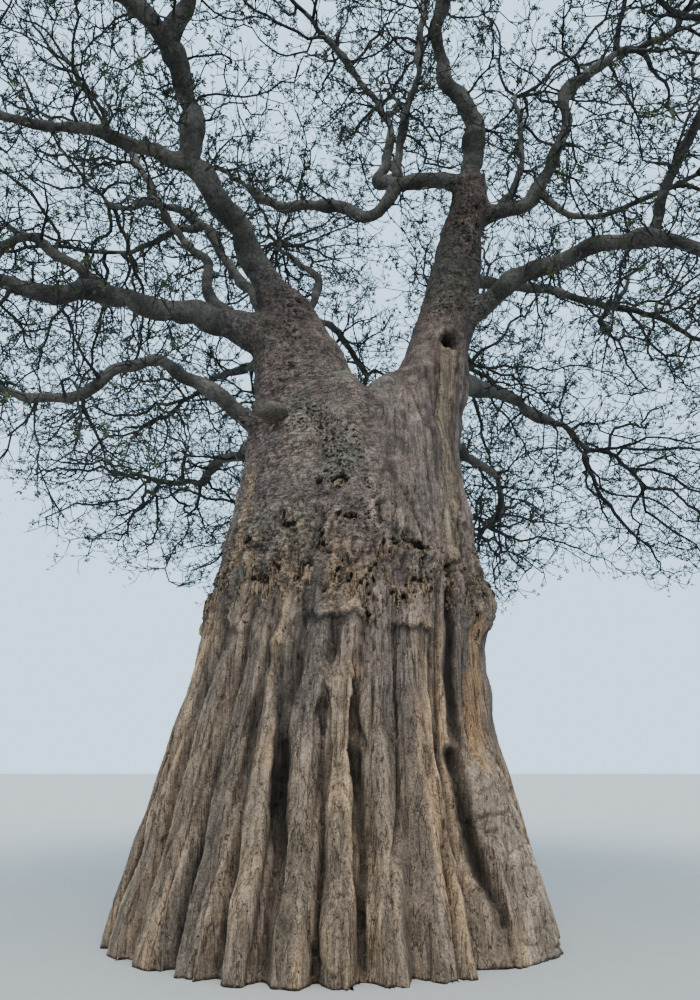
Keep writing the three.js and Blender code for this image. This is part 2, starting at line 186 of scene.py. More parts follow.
def solid_arrays(name):
    """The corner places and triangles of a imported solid, with equal corners joined."""
    mesh = frame["nodes"][name].data
    mesh.calc_loop_triangles()
    places = np.empty(len(mesh.vertices) * 3)
    mesh.vertices.foreach_get("co", places)
    faces = np.empty(len(mesh.loop_triangles) * 3, dtype=np.int32)
    mesh.loop_triangles.foreach_get("vertices", faces)
    places = places.reshape(-1, 3)
    joined, same = np.unique(np.round(places, 4), axis=0, return_inverse=True)
    return joined, same.reshape(-1)[faces].reshape(-1, 3)


def mesh_from(name, places, faces):
    """A mesh with smooth shading from arrays of places and of triangles."""
    mesh = bpy.data.meshes.new(name)
    mesh.vertices.add(len(places))
    mesh.vertices.foreach_set("co", np.asarray(places, dtype=np.float32).ravel())
    mesh.loops.add(faces.size)
    mesh.loops.foreach_set("vertex_index", np.asarray(faces, dtype=np.int32).ravel())
    mesh.polygons.add(len(faces))
    mesh.polygons.foreach_set("loop_start", np.arange(0, faces.size, 3, dtype=np.int32))
    mesh.polygons.foreach_set("use_smooth", np.ones(len(faces), dtype=bool))
    mesh.update(calc_edges=True)
    return mesh


def add_piece(mesh, materials, nodes):
    """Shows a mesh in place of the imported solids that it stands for."""
    piece = in_scene(mesh.name, mesh)
    for material in materials:
        mesh.materials.append(material)
    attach(piece, "root")
    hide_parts(*nodes)


# Materials. Each is laid out by code from noise patterns, in the object's own coordinates.

class Shader:
    """A material's nodes, with short ways to add and join them."""

    def __init__(self, name):
        self.material = bpy.data.materials.new(name)
        self.material.use_nodes = True
        self.tree = self.material.node_tree
        self.bsdf = self.tree.nodes["Principled BSDF"]
        self.place = self.add("ShaderNodeTexCoord").outputs["Object"]

    def add(self, kind, **settings):
        node = self.tree.nodes.new(kind)
        for key, value in settings.items():
            setattr(node, key, value)
        return node

    def join(self, source, target):
        if hasattr(source, "is_linked"):
            self.tree.links.new(source, target)
        else:
            target.default_value = source

    def stretched(self, across, up):
        """The place, counted in so many units to the metre across and up."""
        node = self.add("ShaderNodeMapping")
        self.join(self.place, node.inputs["Vector"])
        node.inputs["Scale"].default_value = (across, across, up)
        return node.outputs["Vector"]

    def noise(self, across, up, detail, roughness, distortion=0.0):
        node = self.add("ShaderNodeTexNoise")
        self.join(self.stretched(across, up), node.inputs["Vector"])
        node.inputs["Scale"].default_value = 1.0
        node.inputs["Detail"].default_value = detail
        node.inputs["Roughness"].default_value = roughness
        node.inputs["Distortion"].default_value = distortion
        return node.outputs["Fac"]

    def thin_lines(self, across, up, width):
        """Thin lines where a noise pattern crosses its middle value, from 0 to 1."""
        gap = self.math("ABSOLUTE", self.math("SUBTRACT", self.noise(across, up, 3, 0.55), 0.5))
        return self.between(gap, 0.0, width, 1.0, 0.0)

    def cells(self, across, up):
        node = self.add("ShaderNodeTexVoronoi")
        self.join(self.stretched(across, up), node.inputs["Vector"])
        node.inputs["Scale"].default_value = 1.0
        return node.outputs["Distance"], node.outputs["Color"]

    def parts(self, colour):
        """The red, green and blue parts of a colour."""
        node = self.add("ShaderNodeSeparateColor")
        self.join(colour, node.inputs["Color"])
        return node.outputs

    def math(self, operation, first, second=0.0):
        node = self.add("ShaderNodeMath", operation=operation)
        self.join(first, node.inputs[0])
        self.join(second, node.inputs[1])
        return node.outputs[0]

    def product(self, value, *others):
        for other in others:
            value = self.math("MULTIPLY", value, other)
        return value

    def between(self, value, low, high, start=0.0, end=1.0):
        """A value that goes smoothly from its start to its end while another goes from low to high."""
        node = self.add("ShaderNodeMapRange", interpolation_type="SMOOTHSTEP")
        self.join(value, node.inputs["Value"])
        for key, number in zip(("From Min", "From Max", "To Min", "To Max"), (low, high, start, end)):
            node.inputs[key].default_value = number
        return node.outputs["Result"]

    def mix(self, share, first, second, blend="MIX"):
        node = self.add("ShaderNodeMix", data_type="RGBA", blend_type=blend)
        self.join(share, node.inputs["Factor"])
        self.join(first, node.inputs["A"])
        self.join(second, node.inputs["B"])
        return next(out for out in node.outputs if out.type == "RGBA")

    def shaded(self, colour, pattern, low, high, dark, light):
        """The colour made darker or lighter while a pattern goes from low to high."""
        return self.mix(1.0, colour, self.between(pattern, low, high, dark, light), "MULTIPLY")

    def bump(self, height, distance, before=None):
        node = self.add("ShaderNodeBump")
        self.join(height, node.inputs["Height"])
        node.inputs["Distance"].default_value = distance
        if before is not None:
            self.join(before, node.inputs["Normal"])
        return node.outputs["Normal"]

    def finish(self, colour, roughness, normal):
        self.join(colour, self.bsdf.inputs["Base Color"])
        self.join(roughness, self.bsdf.inputs["Roughness"])
        self.join(normal, self.bsdf.inputs["Normal"])
        self.bsdf.inputs["Specular IOR Level"].default_value = 0.22
        return self.material


def opaque(colour):
    return (*colour, 1.0)


# Torn bark: the painted shade in its hollows, in its cracks and under its flaps, and the colour of the
# splintered wood in the hollows. The painted shade in pits is darker still.
TORN_SHADE = (0.016, 0.012, 0.009)
TORN_WOOD = (0.275, 0.183, 0.114)
PIT_SHADE = (0.010, 0.009, 0.008)

# Fine noise of the trunk's bark: bumps to the metre across and up, detail, roughness and distortion.
BARK_NOISE = {
    "fibres": (30, 1.3, 6, 0.62, 0),
    "streaks": (13, 1.1, 6, 0.7, 0),
    "wrinkles": (8, 34, 5, 0.65, 0.9),
    "grit": (62, 56, 5, 0.7, 0),
    "mottle": (21, 24, 6, 0.74, 0.5),
    "pit_warp": (34, 30, 3, 0.7, 0),
    "splinters": (34, 7, 5, 0.7, 0),
    "torn_edge": (26, 17, 4, 0.7, 0),
}

# Fine lines on it: lines to the metre across and up, and their width as a share of the noise's range.
BARK_LINES = {
    "splits": (13, 0.8, 0.022),
    "folds": (5.5, 24, 0.035),
    "crazing": (8, 11, 0.026),
    "cracks": (9, 4, 0.022),
}

# Pits on it: cells to the metre across and up, and the largest pit as a share of its cell.
BARK_PITS = [(30, 34, 0.60), (13, 19, 0.50)]

# How far a torn edge strays, as a share of the slope of its attribute, and where it lies on that slope.
TORN_STRAY = 0.42
TORN_RISE = (0.46, 0.56)

# The relief of the bark's material in metres.
GRAIN_DEPTH, LINE_DEPTH, GRIT_DEPTH, PIT_DEPTH = 0.026, 0.008, 0.006, 0.020


def fine_shade(shader, fine, ribbed, wrinkled):
    """How light or dark the fibres, the wrinkles and the crazing make the bark."""
    fibrous = shader.product(
        shader.between(fine["fibres"], 0.30, 0.70, 0.72, 1.28),
        shader.between(fine["streaks"], 0.34, 0.66, 0.72, 1.28),
        shader.between(fine["splits"], 0, 1, 1.0, 0.42),
    )
    folded = shader.product(
        shader.between(fine["wrinkles"], 0.32, 0.64, 0.48, 1.42),
        shader.between(fine["folds"], 0, 1, 1.0, 0.50),
    )
    crazed = shader.between(fine["crazing"], 0, 1, 1.06, 0.52)
    return shader.mix(ribbed, shader.mix(wrinkled, crazed, folded), fibrous)


def torn_look(shader, fine, colour, flap, torn):
    """The colour with painted shade in its cracks and between the splinters of its torn hollows, a painted
    shadow under flaps, and where it is torn.
    """
    stray = shader.between(fine["torn_edge"], 0.3, 0.7, -TORN_STRAY, TORN_STRAY)
    cracked = shader.product(fine["cracks"], shader.between(torn, 0.02, 0.25), 0.8)
    hollow = shader.between(shader.math("ADD", torn, stray), *TORN_RISE)
    shaded = shader.between(shader.math("ADD", flap, stray), *TORN_RISE)
    splintered = shader.between(fine["splinters"], 0.42, 0.60)
    # Painted shade between the splinters and in the cracks, and a painted shadow under the flaps.
    inner = shader.mix(splintered, opaque(TORN_SHADE), opaque(TORN_WOOD))
    colour = shader.mix(cracked, colour, opaque(TORN_SHADE))
    colour = shader.mix(hollow, colour, inner)
    return shader.mix(shaded, colour, opaque(TORN_SHADE)), hollow


def pit_pattern(shader, across, up, largest, where, warp):
    """Ragged pits of mixed sizes, one to a cell at most, from 0 to 1."""
    distance, cell = shader.cells(across, up)
    distance = shader.math("ADD", distance, shader.between(warp, 0.3, 0.7, -0.22, 0.22))
    size = shader.product(shader.math("POWER", shader.parts(cell)[0], 1.3), largest, where)
    return shader.between(shader.math("SUBTRACT", size, distance), 0.0, 0.05)


def trunk_bark_material():
    """Bark under fine fibres, wrinkles and pits.

    Its broad colours with their painted shade and highlights, and how it is ribbed, wrinkled, pitted and
    torn come with the mesh.
    """
    shader = Shader("trunk_bark")
    tone = shader.add("ShaderNodeAttribute", attribute_name="tone").outputs
    kinds = shader.add("ShaderNodeAttribute", attribute_name="kinds").outputs
    ribbed, wrinkled, pitted = shader.parts(kinds["Color"])
    fine = {name: shader.noise(*row) for name, row in BARK_NOISE.items()}
    fine.update({name: shader.thin_lines(*row) for name, row in BARK_LINES.items()})
    shade = fine_shade(shader, fine, ribbed, wrinkled)
    colour = shader.mix(1.0, tone["Color"], shade, "MULTIPLY")
    colour = shader.shaded(colour, fine["grit"], 0.32, 0.68, 0.55, 1.45)
    blotches = shader.mix(
        ribbed,
        shader.between(fine["mottle"], 0.36, 0.62, 0.40, 1.46),
        shader.between(fine["mottle"], 0.34, 0.64, 0.80, 1.16),
    )
    colour = shader.mix(1.0, colour, blotches, "MULTIPLY")
    colour, torn = torn_look(shader, fine, colour, tone["Alpha"], kinds["Alpha"])
    small, large = (pit_pattern(shader, *row, pitted, fine["pit_warp"]) for row in BARK_PITS)
    pits = shader.math("MAXIMUM", small, large)
    # Pits are filled near black, as painted shade in them.
    colour = shader.mix(pits, colour, opaque(PIT_SHADE))
    grain = shader.mix(ribbed, shader.mix(wrinkled, fine["mottle"], fine["wrinkles"]), fine["fibres"])
    normal = shader.bump(grain, GRAIN_DEPTH)
    normal = shader.bump(shader.mix(ribbed, fine["folds"], fine["splits"]), -LINE_DEPTH, normal)
    normal = shader.bump(fine["grit"], GRIT_DEPTH, normal)
    normal = shader.bump(shader.math("MAXIMUM", pits, torn), -PIT_DEPTH, normal)
    return shader.finish(colour, shader.between(fine["grit"], 0.2, 0.8, 0.82, 0.98), normal)


def bough_bark_material(name, low, high, wrinkle):
    """Grey-brown bark with cross wrinkles and paler patches."""
    shader = Shader(name)
    patches = shader.noise(2.2, 2.2, 4, 0.6)
    folds = shader.noise(26, 26, 5, 0.65, 0.6)
    grit = shader.noise(90, 90, 3, 0.6)
    colour = shader.mix(shader.between(patches, 0.36, 0.66), opaque(low), opaque(high))
    colour = shader.shaded(colour, folds, 0.3, 0.65, 0.50, 1.30)
    normal = shader.bump(folds, wrinkle)
    normal = shader.bump(grit, wrinkle * 0.25, normal)
    return shader.finish(colour, shader.between(grit, 0.2, 0.8, 0.8, 0.97), normal)


def leaf_material(name, colour):
    """A dull leaf with a faint mottle."""
    shader = Shader(name)
    mottle = shader.noise(45, 45, 2, 0.6)
    pale = [min(1.0, part * 1.35) for part in colour]
    tint = shader.mix(shader.between(mottle, 0.35, 0.65), opaque(colour), opaque(pale))
    return shader.finish(tint, shader.between(mottle, 0.3, 0.7, 0.55, 0.75), shader.bump(mottle, 0.002))


# The trunk and its stems under one skin of bark.

# Noise patterns of the bark: bumps to the metre across and up the trunk, a seed, how many layers of
# ever finer noise, and how strong it is, in metres where it is relief or the straying of an edge.
PATTERNS = {
    "torn_height": (1.3, 0, 12, 1, 0.18),
    "ragged": (8.5, 4.0, 13, 4, 0.34),
    "torn_wood": (13.0, 4.0, 28, 3, 0.018),
    "rib_ends": (3.1, 1.0, 11, 3, 0.42),
    "rib_colour_ends": (1.7, 1.7, 10, 3, 1.1),
    "skirt_height": (1.4, 0, 71, 1, 0.20),
    "skirt_tatters": (4.6, 0, 72, 3, 0.10),
    "skirt_frays": (15, 15, 81, 2, 0.045),
    "skirt_gaps": (2.1, 0, 76, 1, 1),
    "foot_edge": (3, 3, 17, 1, 0.10),
    "strip_edge": (6.0, 1.2, 15, 3, 0.035),
    "mark_edge": (6, 6, 15, 1, 0.06),
    "pit_edge": (2, 2, 16, 1, 0.25),
    "pit_clusters": (2.6, 2.0, 16, 3, 1),
    "wrinkle_edge": (1.3, 1.3, 18, 1, 0.25),
    "flutes": (5.2, 0.36, 21, 1, 0.030),
    "lumps": (3.6, 2.4, 24, 2, 0.026),
    "flaking": (2.2, 0.9, 30, 1, 1),
    "unevenness": (1.6, 0.5, 20, 1, 0.45),
    "knuckles": (2.8, 2.4, 58, 2, 0.040),
    "foot_lumps": (2.2, 2.2, 39, 3, 0.040),
    "dents": (2.6, 2.6, 26, 3, 0.024),
    "roughness": (9.0, 9.0, 44, 2, 0.013),
    "folds": (2.6, 13.0, 27, 1, 0.017),
    "pleats": (5.0, 0.5, 25, 1, 0.042),
    "fine_pleats": (10.0, 0.6, 40, 1, 0.014),
    "insect_pits": (11.5, 11.5, 45, 1, 1),
    "wood_fibres": (16.0, 0.9, 43, 1, 1),
    "seam_edge": (3.1, 3.1, 59, 1, 0.03),
    "crevice_edge": (5, 5, 29, 1, 0.025),
    "groove_edge": (7, 7, 57, 1, 0.02),
    "crack_edge": (11, 11, 46, 1, 0.02),
    "hole_edge": (12, 12, 47, 2, 0.30),
    "streaks": (6.0, 0.5, 31, 1, 0.5),
    "blotches": (3.4, 1.3, 32, 3, 1),
    "thin_streaks": (15.0, 1.1, 48, 1, 1),
    "cool_streaks": (3.0, 0.35, 33, 1, 1),
    "stains": (4.0, 0.6, 49, 1, 1),
    "clouds": (2.4, 1.1, 34, 4, 1),
    "greenish": (2.0, 1.0, 35, 4, 1),
    "specks": (11.0, 11.0, 50, 2, 0.36),
    "drips": (8.0, 0.7, 51, 1, 0.32),
    "grain": (22.0, 1.1, 37, 1, 1),
}

# Thin lines in the bark: lines to the metre across and up, a seed, half width and strength.
LINE_PATTERNS = {
    "grooves": (4.4, 0.28, 23, 0.10, 0.080),
    "threads": (10.5, 0.6, 22, 0.20, 0.026),
    "creases": (3.6, 0.35, 19, 0.10, 1),
    "foot_cracks": (2.9, 2.3, 38, 0.07, 0.035),
}

# Plates of bark: cells to the metre across and up, how fast and how far they are warped, and two seeds.
PLATE_PATTERNS = {
    "chips": (9.5, 3.4, 1.0, 0.55, 60, 61),
    "rib_plates": (7.5, 1.9, 0.8, 0.45, 64, 62),
    "foot_plates": (4.2, 4.2, 0.8, 0.4, 66, 63),
}

# The belt of torn bark round the trunk: its height, half height, how many times further it fades upward
# than downward, how much of it is torn, and how far down the shade under a flap reaches.
TORN_HEIGHT = 3.50
TORN_HALF_HEIGHT = 0.36
TORN_UPWARD = 1.9
TORN_SHARE = 0.34
TORN_FLAP = 0.050

# The score of torn bark: the weight of its pattern, its fall away from the belt or a patch, the score in
# the middle of a patch and the weight of the chips there, and how a chip's score falls off at its edge.
TORN_PATTERN_WEIGHT = 0.6
TORN_FALL = 0.50
PATCH_SCORE = 0.40
PATCH_CHIP_WEIGHT = 0.26
CHIP_EDGE_POWER = 0.35

# The loose chips of bark lie about this height, and the knuckled swellings of the ribs about this one.
LOOSE_HEIGHT, LOOSE_HALF_HEIGHT = 3.80, 0.70
KNUCKLE_HEIGHT, KNUCKLE_HALF_HEIGHT = 2.8, 0.55

# The ragged skirt in which the smooth bark ends over the ribs: its height, how far it stands out, how
# far up that fades, how far down its shade reaches, and where it fades in beside the crevice.
SKIRT_HEIGHT = 3.15
SKIRT_LIP = 0.040
SKIRT_FADE = 0.34
SKIRT_SHADE = 0.13
SKIRT_CLEAR_OF_CREVICE = (0.14, 0.32)

# Torn patches on the front of the trunk: place, half width and half height.
TORN_PATCHES = [
    ((-0.92, -1.15, 3.46), 0.20, 0.27),
    ((-1.14, -1.00, 3.34), 0.10, 0.12),
    ((0.28, -1.45, 3.30), 0.17, 0.22),
    ((0.54, -1.42, 3.27), 0.24, 0.15),
    ((-0.22, -1.41, 3.83), 0.08, 0.05),
    ((0.10, -1.39, 4.15), 0.11, 0.06),
    ((0.03, -1.33, 4.60), 0.11, 0.05),
    ((0.88, -1.25, 3.86), 0.16, 0.05),
    ((-0.60, -1.30, 4.10), 0.09, 0.04),
    ((-1.10, -0.95, 4.00), 0.10, 0.05),
    ((1.25, -1.01, 3.62), 0.11, 0.18),
]

# Holes: place, half width, half height and depth. Their rims stand out a little.
HOLES = [
    ((1.42, -0.54, 6.86), 0.14, 0.11, 0.26),
    ((0.86, -1.25, 3.84), 0.12, 0.03, 0.08),
    ((1.26, -1.00, 3.68), 0.10, 0.09, 0.14),
    ((-0.57, -0.46, 7.52), 0.06, 0.06, 0.10),
    ((0.10, -1.39, 4.17), 0.07, 0.03, 0.06),
    ((-0.25, -1.29, 4.61), 0.05, 0.03, 0.05),
    ((-0.62, -0.55, 7.30), 0.03, 0.03, 0.04),
]
HOLE_RIM = 0.018

# Swellings: place, half width, half height and how far they stand out.
SWELLINGS = [
    ((-0.06, -1.60, 2.42), 0.15, 0.20, 0.10),
    ((-2.05, -0.71, 1.03), 0.20, 0.26, 0.02),
    ((1.62, -0.40, 3.42), 0.22, 0.28, 0.20),
    ((1.00, -1.20, 3.78), 0.26, 0.10, 0.06),
    ((1.10, -1.34, 1.45), 0.16, 0.20, 0.08),
    ((1.05, -1.05, 3.45), 0.10, 0.30, 0.05),
    ((-0.02, -0.45, 6.60), 0.36, 0.42, 0.14),
]

# Marks along lines down the bark: a stripped strip, bare wood, a streaked side, and the big foot at the
# right with its cracked plates. Each has its line, how far from it the mark ends, how far from it the
# mark is still whole, and the pattern that its edge strays by.
FOOT_LINE = [(1.45, -1.10, 1.35), (1.75, -1.10, 0.7), (1.95, -1.15, 0.0)]
FOOT_BULGE = 0.10
FOOT_BULGE_HALF_WIDTH = 0.34
SCAR_STRIP = [
    (1.40, -0.56, 6.80), (1.35, -0.57, 6.2), (1.29, -0.60, 5.33), (1.26, -0.75, 4.6), (1.26, -0.92, 3.83),
]
BARE_WOOD = [(1.53, -0.68, 3.02), (1.42, -0.87, 2.40), (1.36, -1.05, 1.7)]
STREAKED_SIDE = [(-1.05, -0.72, 4.9), (-1.12, -0.80, 4.3), (-1.2, -0.9, 3.8)]
MARKS = {
    "scar": (SCAR_STRIP, 0.175, 0.125, "strip_edge"),
    "wood": (BARE_WOOD, 0.24, 0.12, "mark_edge"),
    "streaked": (STREAKED_SIDE, 0.18, 0.06, "mark_edge"),
    "foot": (FOOT_LINE, 0.50, 0.30, "foot_edge"),
}

# The seam below the fork, the crevice at the right, and the crack in the bare wood.
STEM_SEAM = [(0.32, -1.00, 6.15), (0.31, -1.20, 5.3), (0.32, -1.29, 4.85), (0.26, -1.42, 3.88)]
SEAM_HALF_WIDTH = 0.05
SEAM_DEPTH = 0.06
SEAM_FADE = (4.6, 6.0)
SEAM_SHADE_FADE = (5.0, 6.2)
SIDE_CREVICE = [(1.22, -1.02, 3.75), (1.19, -1.07, 3.32), (1.14, -1.15, 2.47), (1.14, -1.27, 1.55)]
CREVICE_HALF_WIDTH = 0.08
CREVICE_DEPTH = 0.15
CREVICE_FADE = (1.45, 2.3)
WOOD_CRACK = [(1.46, -0.80, 2.78), (1.42, -0.86, 2.55), (1.47, -0.84, 2.35), (1.42, -0.94, 2.05)]
WOOD_CRACK_HALF_WIDTH = 0.035
WOOD_CRACK_DEPTH = 0.03

# Deep shade between ribs, each a line with a half width and a depth, and a shallow crease, by its bearing.
DARK_GROOVES = [
    ([(-0.61, -1.52, 2.75), (-0.56, -1.63, 1.9), (-0.53, -1.75, 1.2), (-0.45, -2.10, 0.4)], 0.10, 0.05),
    ([(0.14, -1.59, 2.4), (0.14, -1.72, 1.5), (0.15, -1.95, 0.9), (0.18, -2.0, 0.2)], 0.06, 0.07),
    ([(1.08, -1.25, 1.75), (1.19, -1.37, 1.16), (1.28, -1.45, 0.77), (1.46, -1.60, 0.35)], 0.10, 0.13),
    ([(-1.19, -1.27, 2.3), (-1.11, -1.61, 1.3)], 0.045, 0.04),
]
SHALLOW_CREASE = 290
SHALLOW_CREASE_HALF_WIDTH = 7

# The front of the trunk and of its stems where insects and picking have left small pits.
PITTED_LINES = [
    [(-0.60, -0.50, 7.5), (-0.40, -0.85, 6.4), (0.15, -1.10, 5.75)],
    [(-0.35, -1.05, 5.9), (-0.23, -1.2, 5.2), (0.08, -1.33, 4.3)],
    [(1.48, -0.60, 7.5), (1.66, -0.45, 8.2), (1.76, -0.30, 9.3)],
]
PITTED_HALF_WIDTH = 0.66

# The smooth bark is wrinkled at the left and pleated at the right: where each fades in across the trunk,
# and where it fades out with height. The stems grow darker with height, partly as painted shade of the crown
# above them and partly as darker bark.
WRINKLES_ACROSS, WRINKLES_FADE = (-0.15, -0.75), (7.2, 6.4)
PLEATS_ACROSS, PLEATS_FADE = (0.25, 0.6), (7.6, 6.2)
STEMS_DARKEN = (5.6, 8.2)
STEM_DARKNESS = 0.50

# The notch between the stems: its place across, half width and depth, and the heights that it sets in at.
NOTCH = {"across": 0.31, "half_width": 0.16, "depth": 0.20, "low": 5.5, "high": 6.25}

# Colours of the bark, as shares of red, green and blue light.
BARK_COLOURS = {
    "grey": (0.139, 0.099, 0.069),
    "tan": (0.282, 0.177, 0.098),
    # Cold dark grey, laid into the hollows between the ribs partly as painted shade.
    "cool_and_shade": (0.072, 0.057, 0.047),
    "mauve": (0.127, 0.092, 0.078),
    "pink": (0.181, 0.128, 0.104),
    "lichen": (0.125, 0.105, 0.082),
    # Near-black painted shade for the crevice, the seam, the crack in the bare wood and the holes.
    "recess_shade": (0.018, 0.013, 0.010),
    "pale": (0.218, 0.160, 0.107),
    "wood": (0.254, 0.137, 0.065),
    "plate": (0.275, 0.198, 0.142),
    "bough": (0.080, 0.071, 0.060),
}
BARK = {name: np.array(colour) for name, colour in BARK_COLOURS.items()}

# The trunk's skin runs out onto the boughs that grow from it, for a few of their own radii. It is shown
# in stacked pieces, cut at these heights.
STUB_RADII = 3.2
STUB_ROOT = 0.35
STUB_SWELL = 0.36
STUB_SIDES = 16
SKIN_CUTS = (-1.0, 1.9, 3.9, 20.0)

# Rounds of evening: over the whole skin, over the smooth bark and the filled crease, over the smooth bark
# once more, to find the hollows between the ribs, and to find how far the bark's relief stands out.
FIRST_ROUNDS = 3
SMOOTH_ROUNDS = 45
LAST_ROUNDS = 5
HOLLOW_ROUNDS = 60
BULGE_ROUNDS = 40

# Below the first height patterns are laid on as if all the bark were this far from the trunk's axis, and
# above the second height they are laid on as it is.
FLARED_FULLY, FLARED_NOT = 3.6, 5.0
EVEN_REACH = 1.7


def away_from_line(places, line):
    """How far each place is from a line through the given points."""
    nearest = np.full(len(places), 1e9)
    corners = np.array(line)
    for start, end in zip(corners[:-1], corners[1:]):
        along = end - start
        share = np.clip(((places - start) @ along) / (along @ along), 0, 1)
        gap = places - start - share[:, None] * along
        nearest = np.minimum(nearest, np.linalg.norm(gap, axis=1))
    return nearest


def away_from_spot(places, spot, half_width, half_height):
    """Distance from a spot, as a share of its own half width and half height."""
    gap = (places - np.array(spot)) / np.array([half_width, half_width, half_height])
    return np.linalg.norm(gap, axis=1)


def bough_stubs(limbs):
    """The starts of the boughs that grow from the trunk: a line with radii that swell at its root."""
    stubs = []
    for line, radii, carrier in limbs.values():
        if carrier not in TRUNK_NODES:
            continue
        line, radii, along = resampled(line, radii, RING_SPACING)
        kept = along < STUB_RADII * radii[0]
        line, radii, along = line[kept], radii[kept], along[kept]
        heading = unit(line[0] - line[2])
        back = line[0] + heading * np.linspace(STUB_ROOT, 0.05, 4)[:, None]
        swell = 1 + STUB_SWELL * np.exp(-along / (1.1 * radii[0]))
        end_loss = 0.10 * smooth_step(1.4, 2.6, along / radii[0])
        radii = np.concatenate([np.full(4, radii[0] * (1 + STUB_SWELL)), radii * (swell - end_loss)])
        stubs.append((np.concatenate([back, line]), radii))
    return stubs


def near_stubs(places, stubs):
    """Each place's distance from the outer part of the nearest stub, as a share of its radius."""
    nearest = np.full(len(places), 9.0)
    for line, radii in stubs:
        line = line[len(line) // 2:]
        reach = radii.max() * 3
        low, high = line.min(axis=0) - reach, line.max(axis=0) + reach
        close = np.flatnonzero(((places > low) & (places < high)).all(axis=1))
        share = away_from_line(places[close], line) / radii[-1]
        nearest[close] = np.minimum(nearest[close], share)
    return nearest


def trunk_form(stubs):
    """One closed, evenly meshed skin over the trunk, the stems and the starts of the boughs."""
    parts = []
    for name in TRUNK_NODES:
        corners, triangles = solid_arrays(name)
        low = corners[:, 2].min()
        depth = BELOW_GROUND if name == "trunk" else STEM_OVERLAP
        corners[corners[:, 2] < low + 0.01, 2] -= depth
        parts.append((corners, triangles))
    parts.extend(tube(line, radii, STUB_SIDES, 0.3) for line, radii in stubs)
    mesh = mesh_from("trunk_form", *merged(parts))
    form = in_scene("trunk_form", mesh)
    remesh = form.modifiers.new("grid", "REMESH")
    remesh.mode = "VOXEL"
    remesh.voxel_size = BARK_GRID
    evaluated = form.evaluated_get(bpy.context.evaluated_depsgraph_get())
    fine = bpy.data.meshes.new_from_object(evaluated)
    bpy.data.objects.remove(form)
    fine.calc_loop_triangles()
    corners = np.empty(len(fine.vertices) * 3)
    fine.vertices.foreach_get("co", corners)
    triangles = np.empty(len(fine.loop_triangles) * 3, dtype=np.int32)
    fine.loop_triangles.foreach_get("vertices", triangles)
    bpy.data.meshes.remove(fine)
    return corners.reshape(-1, 3), triangles.reshape(-1, 3)


def cut_at_ground(places, faces):
    """Drops what is below the ground and closes the cut with a flat fan."""
    above = (places[:, 2] > 0)[faces].all(axis=1)
    faces = faces[above]
    kept, faces = np.unique(faces, return_inverse=True)
    faces = faces.reshape(-1, 3)
    places = places[kept]
    edges = np.concatenate([faces[:, [0, 1]], faces[:, [1, 2]], faces[:, [2, 0]]])
    keys = edges.min(axis=1) * len(places) + edges.max(axis=1)
    _, first, count = np.unique(keys, return_index=True, return_counts=True)
    rim = edges[first[count == 1]]
    places[np.unique(rim), 2] = 0
    hub = len(places)
    fan = np.column_stack([rim[:, 1], rim[:, 0], np.full(len(rim), hub)])
    places = np.concatenate([places, [[0.0, 0.0, 0.0]]])
    return places, np.concatenate([faces, fan])


def neighbour_pairs(faces):
    edges = np.sort(np.concatenate([faces[:, [0, 1]], faces[:, [1, 2]], faces[:, [2, 0]]]), axis=1)
    return np.unique(edges, axis=0)


def relaxed(places, pairs, share, rounds):
    """Places drawn towards the mean of their neighbours, each by its own share."""
    both = np.concatenate([pairs, pairs[:, ::-1]])
    count = np.maximum(np.bincount(both[:, 0], minlength=len(places)), 1)[:, None]
    for _ in range(rounds):
        sums = np.column_stack([
            np.bincount(both[:, 0], places[both[:, 1], axis], len(places)) for axis in range(3)
        ])
        places = places + share[:, None] * (sums / count - places)
    return places


def corner_normals(places, faces):
    corners = places[faces]
    facing = np.cross(corners[:, 1] - corners[:, 0], corners[:, 2] - corners[:, 0])
    sums = np.column_stack([
        np.bincount(faces.ravel(), np.repeat(facing[:, axis], 3), len(places)) for axis in range(3)
    ])
    return unit(sums)


def bumps(places, name):
    """One of the named noise patterns at each place."""
    across, up, seed, layers, strength = PATTERNS[name]
    return strength * layered(places * np.array([across, across, up]), seed, layers)


def thin_lines(places, name):
    """Named thin lines where a noise pattern crosses zero, from 0 to their strength."""
    across, up, seed, half_width, strength = LINE_PATTERNS[name]
    pattern = noise(places * np.array([across, across, up]), seed)
    return strength * smooth_step(half_width, 0.0, np.abs(pattern))


def plates(places, name):
    """Named plates: a number from -1 to 1 for each place's plate, and how near the plate's edge is."""
    across, up, rate, reach, warp_seed, seed = PLATE_PATTERNS[name]
    return cell_pattern(warped(places * np.array([across, across, up]), rate, reach, warp_seed), seed)


def hump(value, middle, half_width):
    """1 at a middle value, fading evenly to both sides."""
    return np.exp(-(((value - middle) / half_width) ** 2))


def torn_score(places, even, level):
    """How far each place is over the level of torn bark, with that level, the chips and their edges."""
    height = places[:, 2]
    chip, chip_edge = plates(even, "chips")
    ragged = bumps(even, "ragged")
    pattern = 0.50 * (chip + 1) * chip_edge ** CHIP_EDGE_POWER + ragged
    middle = TORN_HEIGHT + bumps(even, "torn_height")
    if level is None:
        level = np.quantile(pattern[np.abs(height - TORN_HEIGHT) < TORN_HALF_HEIGHT], 1 - TORN_SHARE)
    belt = hump((height - middle) / np.where(height > middle, TORN_UPWARD, 1.0), 0, TORN_HALF_HEIGHT)
    score = TORN_PATTERN_WEIGHT * (pattern - level) - TORN_FALL * (1 - belt)
    for spot, half_width, half_height in TORN_PATCHES:
        away = away_from_spot(places, spot, half_width, half_height)
        patch = PATCH_SCORE - TORN_FALL * away + ragged + PATCH_CHIP_WEIGHT * chip
        score = np.maximum(score, patch)
    return score, level, chip, chip_edge


